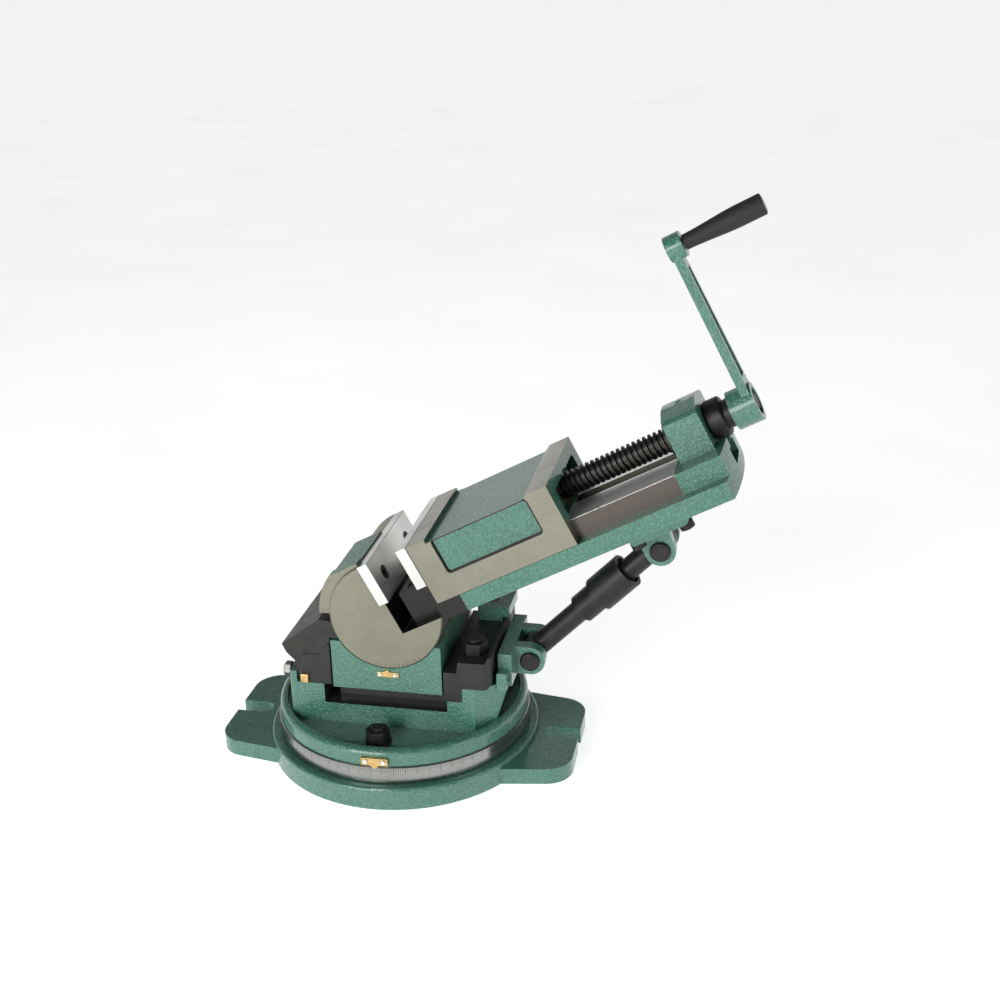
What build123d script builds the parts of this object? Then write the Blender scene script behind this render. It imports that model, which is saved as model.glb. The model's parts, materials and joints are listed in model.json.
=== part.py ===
"""Tilting and swivelling machine vise, in millimetres.

World frame: +Z up, +X from the fixed jaw towards the crank, origin at the centre of the base's underside.
The tilting parts are drawn in the bed's own directions: u runs along the bed towards the crank, v is square to
the jaw guides, and both are measured from the drum's axis.
"""
import os
from math import cos, radians, sin, sqrt

from build123d import *

# ---------------------------------------------------------------- fits
run_gap = 0.05          # radial clearance of a turning fit
slide_gap = 0.10        # clearance of a sliding fit
open_gap = 0.50         # clearance between faces that pass each other
hole_gap = 0.40         # radial clearance of a bolt in its hole

# ---------------------------------------------------------------- screws
head_gap = 0.2          # radial clearance of a screw head in its counterbore
m6_radius = 3.0
m6_head = 5.0
m6_head_height = 6.5
m8_radius = 4.0
m8_head = 6.5
m8_head_height = 5.8
m8_bore_depth = 6.5
m8_socket = 3.0
m10_radius = 5.0
m10_head = 8.0
m10_bore_depth = 11.0
m12_radius = 6.0
stud_radius = 7.0

# ---------------------------------------------------------------- base
base_radius = 126.7
base_height = 21.2
base_edge = 3.0
lug_reach = 167.0
lug_half_width_root = 74.0
lug_half_width_tip = 60.0
lug_thickness = 15.5
lug_corner = 25.0
slot_width = 18.0
slot_end_x = 134.0
key_width = 16.0
key_depth = 4.0
ring_radius = 118.4
ring_top = 37.9
ring_wall = 14.4
ring_groove = 1.4
tee_radius = 90.0       # radius of the circular T-slot
tee_neck = 13.0
tee_head = 22.0
tee_head_top = 25.0
tee_head_bottom = 14.0
pivot_radius = 15.0
pivot_foot = 5.0

# ---------------------------------------------------------------- turntable
flange_radius = 116.8
flange_floor = 45.6
flange_top = 53.5
flange_rim = 7.0
rim_round = 5.5
vise_half_width = 62.5  # half of the jaw width
saddle_left = -83.0
saddle_right = 83.0
shoulder_height = 84.0
shoulder_inner = 57.0
recess_floor = 65.0
step_x = 71.0
step_height = 76.0
post_height = 90.0
flank_right = 95.0
flank_depth = 48.0
clevis_left = 112.0
clevis_half_width = 40.0
pivot_x = 4.0           # drum axis
pivot_z = 156.0
tilt_rest = 27.6        # bed angle as drawn, degrees
drum_radius = 51.1
cradle_left = -48.0
cradle_right = 53.0
cradle_bottom = 82.0
cradle_top = 129.0
cradle_foot_setback = 18.0
block_radius = drum_radius + 9.9    # outer radius of the block behind the fixed jaw
clamp_gap = 1.5
push_bolt_z = 89.5

# ---------------------------------------------------------------- bed and jaws
plate_thickness = 9.8
plate_height = 40.0
plate_bottom = 11.0
plate_seat = 0.7        # u of the fixed plate's back face
drum_face = 7.5         # u of the drum's face below the plate
gap_floor = -20.5       # v of the drum's floor under the jaws
jaw_opening = 29.8
rail_top = 10.6
rail_half_width = vise_half_width - 12.5
rail_start = 17.0
bed_bottom = -24.0
ledge_top = -8.0
bed_start = 48.0
bed_end = 330.0         # u of the end's crown
bed_end_sag = 6.0       # how far the rounded end falls back at the sides
slot_neck = 9.0         # half width of the bed's T-slot neck
slot_neck_bottom = 2.0
slot_tee = 17.0
slot_tee_bottom = -12.0
jaw_length = 138.6
jaw_top = 49.5
jaw_skirt_bottom = -7.6
jaw_ridge_front = 19.0
jaw_ridge_rear = 17.7
jaw_recess = 3.5
side_panel = 2.0
screw_v = 26.0
screw_radius = 11.0
screw_start = 127.0
screw_journal = 9.0
bracket_u = 290.0
bracket_length = 31.0
bracket_half_width = 29.0
bracket_shoulder = 48.5
bracket_top = 52.8
crank_radius = 144.0
hub_u = 343.0
hub_length = 22.0
hub_radius = 17.0
spindle_radius = 5.0
boss_u = 354.0
boss_length = 14.0
arm_half_width_hub = 13.0
arm_half_width_boss = 8.5
web_depth = 2.0
web_edge = 5.0          # arm's rim beside the sunken web
boss_radius = 11.0
cap_radius = 12.0
cap_depth = 6.0
grip_start = 369.0
grip_length = 69.0
grip_root_radius = 6.5
grip_swell_radius = 9.4
boss_v = screw_v + crank_radius

# ---------------------------------------------------------------- strut
lower_pin_x = 125.8
lower_pin_z = 102.0
upper_pin_u = 238.0
upper_pin_v = -55.0
strut_pin_radius = 9.0
strut_rod_radius = 10.0
eye_radius = strut_pin_radius + 3.0
eye_half_width = 12.0
ear_inner = eye_half_width + 0.6
ear_outer = 24.0
ear_radius = strut_pin_radius + 4.5
sleeve_start = 62.0
sleeve_length = 58.0
sleeve_radius_low = strut_rod_radius + 3.5
sleeve_radius_high = strut_rod_radius + 6.5
lower_rod_length = 65.5
upper_rod_length = 47.3
tail_radius = 6.0

# ---------------------------------------------------------------- places that follow from the sizes above
cradle_screw_pitch = 60.0
cradle_screw_grip = 20.0
stud_depth = 30.0
rest_top = pivot_z + bed_bottom - 1.5    # just under the level bed
stud_top = rest_top - 0.5
clamp_stud_x = 79.0
collar_radius = 17.4
collar_room = 1.5
drum_screw_u = 30.0
drum_screw_depth = 9.0
jaw_screw_v = 31.0
screw_inset = 24.5      # from the vise's side to the screws that hold the plates, the drum and the clamp
push_boss_x = -91.0     # outer face of the push bolts' bosses
push_boss_depth = 8.0
push_boss_width = 22.0
push_boss_gap = 0.44    # between a boss's corner and the flange's rim
screw_y = vise_half_width - screw_inset
push_boss_reach = sqrt((flange_radius - flange_rim) ** 2 - push_boss_x ** 2)
push_bolt_y = push_boss_reach - push_boss_width / 2 - push_boss_gap
jaw_screw_at = ((-screw_y, jaw_screw_v), (screw_y, jaw_screw_v))
drum_screw_at = ((drum_screw_u, -screw_y), (drum_screw_u, screw_y))
clamp_stud_at = ((clamp_stud_x, -screw_y), (clamp_stud_x, screw_y))
push_bolt_at = ((-push_bolt_y, push_bolt_z), (push_bolt_y, push_bolt_z))
swivel_bolt_at = ((0, -tee_radius), (0, tee_radius))
jaw_front = plate_seat + 2 * plate_thickness + jaw_opening
jaw_rear = jaw_front + jaw_length
keeper_screw_top = screw_v - screw_radius - 2
keeper_screw_at = ((jaw_front + 25, 0), (jaw_rear - 40, 0))
collar_u = bracket_u + bracket_length
ring_inner = ring_radius - ring_wall

# ---------------------------------------------------------------- frames
tilt = radians(tilt_rest)
u_dir = Vector(cos(tilt), 0, sin(tilt))
v_dir = Vector(-sin(tilt), 0, cos(tilt))
drum_axis = Vector(pivot_x, 0, pivot_z)


def at(u, y, v):
    """World point of a point of the bed."""
    return drum_axis + u_dir * u + v_dir * v + Vector(0, y, 0)


def bed_side(y):
    """Sketch plane with x along u and y along v, facing the front, at depth y."""
    return Plane(origin=at(0, y, 0), x_dir=u_dir, z_dir=(0, -1, 0))


def bed_cross(u):
    """Sketch plane with x along +Y and y along v, square to the bed at u."""
    return Plane(origin=at(u, 0, 0), x_dir=(0, 1, 0), z_dir=u_dir)


def bed_plan(v):
    """Sketch plane with x along u and y along +Y, at height v over the drum's axis."""
    return Plane(origin=at(0, 0, v), x_dir=u_dir, z_dir=v_dir)


def front(y):
    """Level sketch plane with x along +X and y along +Z, facing the front, at depth y."""
    return Plane(origin=(0, y, 0), x_dir=(1, 0, 0), z_dir=(0, -1, 0))


def level(z):
    return Plane.XY.offset(z)


def facing_x(x):
    """Level sketch plane with x along +Y and y along +Z, square to X."""
    return Plane(origin=(x, 0, 0), x_dir=(0, 1, 0), z_dir=(1, 0, 0))


def save(builder, name):
    builder.part.label = name
    export_step(builder.part, f"parts/{name}.step")


os.makedirs("parts", exist_ok=True)

# ================================================================ base
with BuildPart() as base_plate:
    with BuildSketch(level(0)):
        Circle(base_radius)
    extrude(amount=base_height)
    fillet(base_plate.edges().filter_by(GeomType.CIRCLE).group_by(Axis.Z)[-1], base_edge)
    for side in (-1, 1):
        with BuildSketch(level(0)):
            with BuildLine():
                Polyline(
                    (side * 80, lug_half_width_root),
                    (side * lug_reach, lug_half_width_tip),
                    (side * lug_reach, -lug_half_width_tip),
                    (side * 80, -lug_half_width_root),
                    close=True,
                )
            make_face()
        extrude(amount=lug_thickness)
    tips = base_plate.edges().filter_by(Axis.Z).filter_by(lambda e: abs(e.center().X) > lug_reach - 1)
    fillet(tips, lug_corner)
    with BuildSketch(level(base_height)):
        Circle(ring_inner)
    extrude(amount=ring_top - base_height)
    with BuildSketch(level(0)):
        with Locations((lug_reach, 0), (-lug_reach, 0)):
            SlotOverall(2 * (lug_reach - slot_end_x), slot_width)
    extrude(amount=lug_thickness + 1, mode=Mode.SUBTRACT)
    with BuildSketch(level(0)):
        with Locations((95, 0), (-95, 0)):
            Rectangle(50, key_width)
    extrude(amount=key_depth, mode=Mode.SUBTRACT)
    with BuildSketch(level(tee_head_top)):
        Circle(tee_radius + tee_neck / 2)
        Circle(tee_radius - tee_neck / 2, mode=Mode.SUBTRACT)
    extrude(amount=ring_top, mode=Mode.SUBTRACT)
    with BuildSketch(level(tee_head_bottom)):
        Circle(tee_radius + tee_head / 2)
        Circle(tee_radius - tee_head / 2, mode=Mode.SUBTRACT)
    extrude(amount=tee_head_top - tee_head_bottom, mode=Mode.SUBTRACT)
    with BuildSketch(level(pivot_foot)):
        Circle(pivot_radius)
    extrude(amount=ring_top, mode=Mode.SUBTRACT)
save(base_plate, "base_plate")

with BuildPart() as graduated_ring:
    with BuildSketch(front(0)):
        with BuildLine():
            Polyline(
                (ring_inner, base_height),
                (ring_radius - ring_groove, base_height),
                (ring_radius - ring_groove, base_height + ring_groove),
                (ring_radius, base_height + ring_groove),
                (ring_radius, ring_top - 0.8),
                (ring_radius - 0.8, ring_top),
                (ring_inner, ring_top),
                close=True,
            )
        make_face()
    revolve(axis=Axis.Z)
save(graduated_ring, "graduated_ring")

pivot_head = 50.0
with BuildPart() as pivot_stud:
    with BuildSketch(level(pivot_foot)):
        Circle(pivot_radius)
    extrude(amount=pivot_head - pivot_foot)
    chamfer(pivot_stud.edges().group_by(Axis.Z)[-1], 1.5)
save(pivot_stud, "pivot_stud")

# ================================================================ turntable
clevis_top = lower_pin_z + ear_radius
with BuildPart() as swivel_body:
    with BuildSketch(level(ring_top)):
        Circle(flange_radius)
    extrude(amount=flange_top - ring_top)
    fillet(swivel_body.edges().filter_by(GeomType.CIRCLE).group_by(Axis.Z)[-1], rim_round)
    with BuildSketch(level(flange_floor)):
        Circle(flange_radius - flange_rim)
    extrude(amount=flange_top, mode=Mode.SUBTRACT)
    # saddle
    with BuildSketch(front(-vise_half_width)):
        with BuildLine():
            Polyline(
                (saddle_left, ring_top + 2),
                (saddle_left, shoulder_height),
                (-shoulder_inner, shoulder_height),
                (-shoulder_inner, recess_floor),
                (shoulder_inner, recess_floor),
                (shoulder_inner, step_height),
                (step_x, step_height),
                (step_x, post_height),
                (saddle_right, post_height),
                (saddle_right, ring_top + 2),
                close=True,
            )
        make_face()
    extrude(amount=-2 * vise_half_width)
    # flanks that spread from the saddle to the clevis block
    with BuildSketch(level(ring_top + 2)):
        with BuildLine():
            Polyline(
                (saddle_right - 1, -vise_half_width),
                (flank_right, -flank_depth),
                (flank_right, flank_depth),
                (saddle_right - 1, vise_half_width),
                close=True,
            )
        make_face()
    with BuildSketch(level(post_height)):
        with BuildLine():
            Polyline(
                (saddle_right - 1, -vise_half_width),
                (clevis_left - 2, -clevis_half_width - 2),
                (clevis_left - 2, clevis_half_width + 2),
                (saddle_right - 1, vise_half_width),
                close=True,
            )
        make_face()
    loft()
    # clevis block and its two ears
    with BuildSketch(front(-clevis_half_width)):
        with BuildLine():
            Polyline(
                (99.5, post_height - 6),
                (99.5, clevis_top),
                (clevis_left, clevis_top),
                (clevis_left, post_height - 6),
                close=True,
            )
        make_face()
    extrude(amount=-2 * clevis_half_width)
    for side in (-1, 1):
        with BuildSketch(front(side * ear_inner)):
            with Locations((lower_pin_x, lower_pin_z)):
                Circle(ear_radius)
            with Locations(((clevis_left + lower_pin_x) / 2 - 1, lower_pin_z)):
                Rectangle(lower_pin_x - clevis_left + 2, 2 * ear_radius)
        extrude(amount=-side * (ear_outer - ear_inner))
    # nub beside the clevis
    with BuildSketch(front(-vise_half_width + 12)):
        with Locations((104.5, 93)):
            RectangleRounded(9, 17, 1.5)
    extrude(amount=-12)
    # bosses of the push bolts
    for y, _ in push_bolt_at:
        with BuildSketch(facing_x(push_boss_x)):
            with Locations((y, 67)):
                Rectangle(push_boss_width, 54)
        extrude(amount=push_boss_depth)
    upright = swivel_body.edges().filter_by(Axis.Z)
    fillet(upright.filter_by(lambda e: abs(e.center().X - push_boss_x) < 0.5), 5)
    # bores
    with BuildSketch(level(ring_top)):
        Circle(pivot_radius + run_gap)
    extrude(amount=pivot_head + 3 - ring_top, mode=Mode.SUBTRACT)
    with BuildSketch(level(ring_top)):
        with Locations(*swivel_bolt_at):
            Circle(m12_radius + hole_gap)
    extrude(amount=20, mode=Mode.SUBTRACT)
    with BuildSketch(level(ring_top)):
        with GridLocations(cradle_screw_pitch, cradle_screw_pitch, 2, 2):
            Circle(m10_head + 0.5)
    extrude(amount=m10_bore_depth, mode=Mode.SUBTRACT)
    with BuildSketch(level(ring_top)):
        with GridLocations(cradle_screw_pitch, cradle_screw_pitch, 2, 2):
            Circle(m10_radius)
    extrude(amount=recess_floor - ring_top, mode=Mode.SUBTRACT)
    with BuildSketch(front(-ear_outer - 1)):
        with Locations((lower_pin_x, lower_pin_z)):
            Circle(strut_pin_radius)
    extrude(amount=-2 * ear_outer - 2, mode=Mode.SUBTRACT)
    with BuildSketch(facing_x(push_boss_x - 1)):
        with Locations(*push_bolt_at):
            Circle(m10_radius)
    extrude(amount=push_boss_depth + 4, mode=Mode.SUBTRACT)
    with BuildSketch(level(post_height + 1)):
        with Locations(*clamp_stud_at):
            Circle(stud_radius)
    extrude(amount=-stud_depth - 1, mode=Mode.SUBTRACT)
save(swivel_body, "swivel_body")

nut_flats = 19.0
washer_top = flange_floor + 2.5
with BuildPart() as swivel_tbolts:
    with BuildSketch(level(tee_head_bottom + open_gap)):
        with Locations(*swivel_bolt_at):
            Rectangle(18, 18)
    extrude(amount=tee_head_top - tee_head_bottom - 2 * open_gap)
    with BuildSketch(level(tee_head_bottom + 2)):
        with Locations(*swivel_bolt_at):
            Circle(m12_radius)
    extrude(amount=62 - tee_head_bottom - 2)
    chamfer(swivel_tbolts.faces().group_by(Axis.Z)[-1].edges(), 1)
save(swivel_tbolts, "swivel_tbolts")

with BuildPart() as swivel_washers:
    with BuildSketch(level(flange_floor)):
        with Locations(*swivel_bolt_at):
            Circle(12)
            Circle(m12_radius + hole_gap, mode=Mode.SUBTRACT)
    extrude(amount=washer_top - flange_floor)
save(swivel_washers, "swivel_washers")

with BuildPart() as swivel_nuts:
    with BuildSketch(level(washer_top)):
        with Locations(*swivel_bolt_at):
            RegularPolygon(nut_flats / 2, 6, major_radius=False, rotation=10)
            Circle(m12_radius, mode=Mode.SUBTRACT)
    extrude(amount=11)
save(swivel_nuts, "swivel_nuts")

with BuildPart() as cradle_block:
    with BuildSketch(front(-vise_half_width)):
        with BuildLine():
            Polyline(
                (cradle_left, cradle_bottom),
                (cradle_left, cradle_top),
                (cradle_right, cradle_top),
                (cradle_right, cradle_bottom),
                close=True,
            )
        make_face()
        with Locations((pivot_x, pivot_z)):
            Circle(drum_radius + run_gap, mode=Mode.SUBTRACT)
    extrude(amount=-2 * vise_half_width)
    with BuildSketch(front(-vise_half_width + cradle_foot_setback)):
        with BuildLine():
            Polyline(
                (cradle_left, recess_floor),
                (cradle_left, cradle_bottom),
                (cradle_right, cradle_bottom),
                (cradle_right, recess_floor),
                close=True,
            )
        make_face()
    extrude(amount=-2 * (vise_half_width - cradle_foot_setback))
    with BuildSketch(level(recess_floor)):
        with GridLocations(cradle_screw_pitch, cradle_screw_pitch, 2, 2):
            Circle(m10_radius)
    extrude(amount=cradle_screw_grip + 5, mode=Mode.SUBTRACT)
save(cradle_block, "cradle_block")

with BuildPart() as cradle_screws:
    with BuildSketch(level(ring_top + 0.6)):
        with GridLocations(cradle_screw_pitch, cradle_screw_pitch, 2, 2):
            Circle(m10_head)
            RegularPolygon(4, 6, major_radius=False, mode=Mode.SUBTRACT)
    extrude(amount=m10_bore_depth - 0.6)
    with BuildSketch(level(ring_top + 6)):
        with GridLocations(cradle_screw_pitch, cradle_screw_pitch, 2, 2):
            Circle(m10_radius)
    extrude(amount=recess_floor + cradle_screw_grip - ring_top - 6)
save(cradle_screws, "cradle_screws")

clamp_reach = drum_radius + run_gap
tip_low = cradle_top + clamp_gap
tip_high = 147.0
tip_low_x = pivot_x - sqrt(clamp_reach ** 2 - (pivot_z - tip_low) ** 2)
tip_high_x = pivot_x - sqrt(clamp_reach ** 2 - (pivot_z - tip_high) ** 2)
with BuildPart() as left_clamp:
    with BuildSketch(front(-vise_half_width + 1.5)):
        with BuildLine():
            Line((tip_low_x, tip_low), (cradle_left - clamp_gap, tip_low))
            Line((cradle_left - clamp_gap, tip_low), (cradle_left - clamp_gap, shoulder_height))
            Line((cradle_left - clamp_gap, shoulder_height), (-80, shoulder_height))
            Line((-80, shoulder_height), (-82, 103))
            Line((-82, 103), (-91.5, 113))
            Line((-91.5, 113), (-95, 121))
            Line((-95, 121), (-59, tip_high + 0.5))
            Line((-59, tip_high + 0.5), (tip_high_x, tip_high))
            RadiusArc((tip_high_x, tip_high), (tip_low_x, tip_low), -clamp_reach)
        make_face()
    extrude(amount=-2 * (vise_half_width - 1.5))
    with BuildSketch(front(-vise_half_width)):
        with BuildLine():
            Polyline(
                (-80, shoulder_height),
                (-76, 112),
                (-58, 114),
                (-53, 124),
                (cradle_left - clamp_gap, 124),
                (cradle_left - clamp_gap, shoulder_height),
                close=True,
            )
        make_face()
    extrude(amount=-4)
    with BuildSketch(facing_x(-84)):
        with Locations(*push_bolt_at):
            Circle(m10_radius)
    extrude(amount=14, mode=Mode.SUBTRACT)
save(left_clamp, "left_clamp")

with BuildPart() as push_bolts:
    with BuildSketch(facing_x(push_boss_x)):
        with Locations(*push_bolt_at):
            RegularPolygon(6.5, 6, major_radius=False)
    extrude(amount=-6.5)
    chamfer(push_bolts.faces().sort_by(Axis.X)[0:2].edges(), 0.8)
    with BuildSketch(facing_x(push_boss_x - 1)):
        with Locations(*push_bolt_at):
            Circle(m10_radius)
    extrude(amount=20)
save(push_bolts, "push_bolts")

clamp_plug_z = 89.0
with BuildPart() as brass_plug:
    with BuildSketch(front(-vise_half_width)):
        with Locations((-74.5, clamp_plug_z)):
            RectangleRounded(7.5, 8.5, 1)
    extrude(amount=2.5)
    fillet(brass_plug.faces().sort_by(Axis.Y)[0].edges(), 0.8)
save(brass_plug, "brass_plug")

right_top = 116.0
with BuildPart() as right_clamp:
    with BuildSketch(front(-vise_half_width)):
        with BuildLine():
            Polyline(
                (cradle_right + clamp_gap, 88),
                (cradle_right + clamp_gap + 3, step_height),
                (step_x - 0.5, step_height),
                (step_x - 0.5, post_height),
                (94, post_height),
                (97, 94),
                (97, right_top + 4),
                (94, right_top + 4),
                (92.5, right_top),
                (68, right_top),
                (66.5, 105),
                (cradle_right + clamp_gap, 105),
                close=True,
            )
        make_face()
    extrude(amount=-2 * vise_half_width)
    chamfer(right_clamp.edges().filter_by(Axis.Z).filter_by(lambda e: e.center().X > 96.9), 6)
    with BuildSketch(level(post_height - 1)):
        with Locations(*clamp_stud_at):
            Circle(stud_radius + hole_gap)
    extrude(amount=40, mode=Mode.SUBTRACT)
    # room for the clevis block
    with BuildSketch(front(-clevis_half_width - 3)):
        with BuildLine():
            Polyline((98.9, 80), (98.9, 130), (120, 130), (120, 80), close=True)
        make_face()
    extrude(amount=-2 * clevis_half_width - 6, mode=Mode.SUBTRACT)
save(right_clamp, "right_clamp")

with BuildPart() as clamp_studs:
    with BuildSketch(level(post_height - stud_depth)):
        with Locations(*clamp_stud_at):
            Circle(stud_radius)
    extrude(amount=stud_top - post_height + stud_depth)
    chamfer(clamp_studs.faces().group_by(Axis.Z)[-1].edges(), 1)
save(clamp_studs, "clamp_studs")

rest_left = 68.5
rest_right = 98.5
rest_step_x = 92.0      # the block steps over the clamp's lip here
rest_step_z = right_top + 4.5
rest_front = screw_y - 16.0
with BuildPart() as rest_block:
    with BuildSketch(front(rest_front)):
        with BuildLine():
            Polyline(
                (rest_left, right_top), (rest_left, rest_top), (rest_right, rest_top), (rest_right, rest_step_z),
                (rest_step_x, rest_step_z), (rest_step_x, right_top), close=True,
            )
        make_face()
    extrude(amount=rest_front - vise_half_width)
    with BuildSketch(level(right_top)):
        with Locations(clamp_stud_at[1]):
            Circle(stud_radius)
    extrude(amount=rest_top - right_top, mode=Mode.SUBTRACT)
save(rest_block, "rest_block")

with BuildPart() as clamp_nuts:
    with BuildSketch(level(right_top)):
        with Locations(clamp_stud_at[0]):
            RegularPolygon(10.5, 6, major_radius=False)
            Circle(stud_radius, mode=Mode.SUBTRACT)
    extrude(amount=11)
save(clamp_nuts, "clamp_nuts")

pointer_thickness = 1.5
with BuildPart() as tilt_pointer:
    with BuildSketch(front(-vise_half_width)):
        with BuildLine():
            Polyline(
                (pivot_x - 10, 96.5), (pivot_x + 10, 96.5), (pivot_x + 10, 101.5), (pivot_x + 3, 101.5),
                (pivot_x, 104.3), (pivot_x - 3, 101.5), (pivot_x - 10, 101.5), close=True,
            )
        make_face()
    extrude(amount=pointer_thickness)
save(tilt_pointer, "tilt_pointer")

with BuildPart() as tilt_pointer_screws:
    with BuildSketch(front(-vise_half_width - pointer_thickness)):
        with Locations((pivot_x - 7, 99), (pivot_x + 7, 99)):
            Circle(2)
    extrude(amount=1.2)
    fillet(tilt_pointer_screws.faces().group_by(Axis.Y)[0].edges(), 0.8)
save(tilt_pointer_screws, "tilt_pointer_screws")

pointer_angle = -2.1
pointer_radius = flange_radius
pointer_plane = Plane(
    origin=(-pointer_radius * sin(radians(pointer_angle)), -pointer_radius * cos(radians(pointer_angle)), 0),
    x_dir=(cos(radians(pointer_angle)), -sin(radians(pointer_angle)), 0),
    z_dir=(-sin(radians(pointer_angle)), -cos(radians(pointer_angle)), 0),
)
with BuildPart() as swivel_pointer:
    with BuildSketch(pointer_plane):
        with BuildLine():
            Polyline(
                (-12, 40.5), (-4, 40.5), (0, 36.4), (4, 40.5), (12, 40.5), (12, 47.3), (-12, 47.3),
                close=True,
            )
        make_face()
    extrude(amount=3.2)
    with BuildSketch(level(ring_top - 3)):
        Circle(flange_radius)
    extrude(amount=14, mode=Mode.SUBTRACT)
    with BuildSketch(level(ring_top - 3)):
        Circle(ring_radius + 0.4)
    extrude(amount=3, mode=Mode.SUBTRACT)
save(swivel_pointer, "swivel_pointer")

with BuildPart() as swivel_pointer_screws:
    with BuildSketch(pointer_plane.offset(3.2)):
        with Locations((-8, 44), (8, 44)):
            Circle(2.2)
    extrude(amount=1.2)
save(swivel_pointer_screws, "swivel_pointer_screws")

with BuildPart() as lower_pin:
    with BuildSketch(front(-ear_outer - 3.5)):
        with Locations((lower_pin_x, lower_pin_z)):
            Circle(strut_pin_radius)
    extrude(amount=-2 * ear_outer - 7)
    chamfer(lower_pin.edges().filter_by(GeomType.CIRCLE), 1.2)
save(lower_pin, "lower_pin")

# ================================================================ tilting bed
with BuildPart() as fixed_jaw:
    with BuildSketch(bed_side(-vise_half_width)):
        Circle(drum_radius)
    extrude(amount=-2 * vise_half_width)
    chamfer(fixed_jaw.edges().filter_by(GeomType.CIRCLE), 1.0)
    for front_y, depth, reach in ((-59.5, 12.0, block_radius), (-47.5, 65.0, block_radius - 1.5)):
        with BuildSketch(bed_side(front_y)):
            with BuildLine():
                low = (-0.9 * reach, sqrt(1 - 0.81) * reach)
                high = (-0.47 * reach, sqrt(1 - 0.47 ** 2) * reach)
                Line((-20, 10), low)
                RadiusArc(low, high, reach)
                Line(high, (plate_seat, high[1]))
                Line((plate_seat, high[1]), (plate_seat, 10))
                Line((plate_seat, 10), (-20, 10))
            make_face()
        extrude(amount=-depth)
    # seat of the jaw plate and the step under it
    with BuildSketch(bed_side(-vise_half_width - 1)):
        with BuildLine():
            Polyline(
                (drum_face, gap_floor), (80, gap_floor), (80, 80), (plate_seat, 80),
                (plate_seat, plate_bottom), (drum_face, plate_bottom), close=True,
            )
        make_face()
    extrude(amount=-2 * vise_half_width - 2, mode=Mode.SUBTRACT)
    inner_corner = fixed_jaw.edges().filter_by(Axis.Y).sort_by_distance(at(drum_face, 0, gap_floor))[0]
    fillet(inner_corner, 2.5)
    with BuildSketch(bed_cross(plate_seat)):
        with Locations(*jaw_screw_at):
            Circle(m8_radius)
    extrude(amount=-22, mode=Mode.SUBTRACT)
    with BuildSketch(bed_plan(gap_floor)):
        with Locations(*drum_screw_at):
            Circle(m8_radius)
    extrude(amount=-16, mode=Mode.SUBTRACT)
save(fixed_jaw, "fixed_jaw")

with BuildPart() as fixed_jaw_plate:
    with BuildSketch(bed_cross(plate_seat)):
        with Locations((0, plate_bottom + plate_height / 2)):
            Rectangle(2 * vise_half_width, plate_height)
    extrude(amount=plate_thickness)
    chamfer(fixed_jaw_plate.edges().group_by(Axis.Z)[-1], 0.5)
    with BuildSketch(bed_cross(plate_seat)):
        with Locations(*jaw_screw_at):
            Circle(m8_radius)
    extrude(amount=plate_thickness, mode=Mode.SUBTRACT)
    with BuildSketch(bed_cross(plate_seat + plate_thickness)):
        with Locations(*jaw_screw_at):
            Circle(m8_head + head_gap)
    extrude(amount=-m8_bore_depth, mode=Mode.SUBTRACT)
save(fixed_jaw_plate, "fixed_jaw_plate")

with BuildPart() as fixed_plate_screws:
    with BuildSketch(bed_cross(plate_seat + plate_thickness - m8_bore_depth)):
        with Locations(*jaw_screw_at):
            Circle(m8_head)
    extrude(amount=m8_head_height)
    with BuildSketch(bed_cross(plate_seat + plate_thickness - m8_bore_depth)):
        with Locations(*jaw_screw_at):
            Circle(m8_radius)
    extrude(amount=-22)
    with BuildSketch(bed_cross(plate_seat + plate_thickness - m8_bore_depth + m8_head_height)):
        with Locations(*jaw_screw_at):
            RegularPolygon(m8_socket, 6, major_radius=False)
    extrude(amount=-4, mode=Mode.SUBTRACT)
save(fixed_plate_screws, "fixed_plate_screws")

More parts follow.
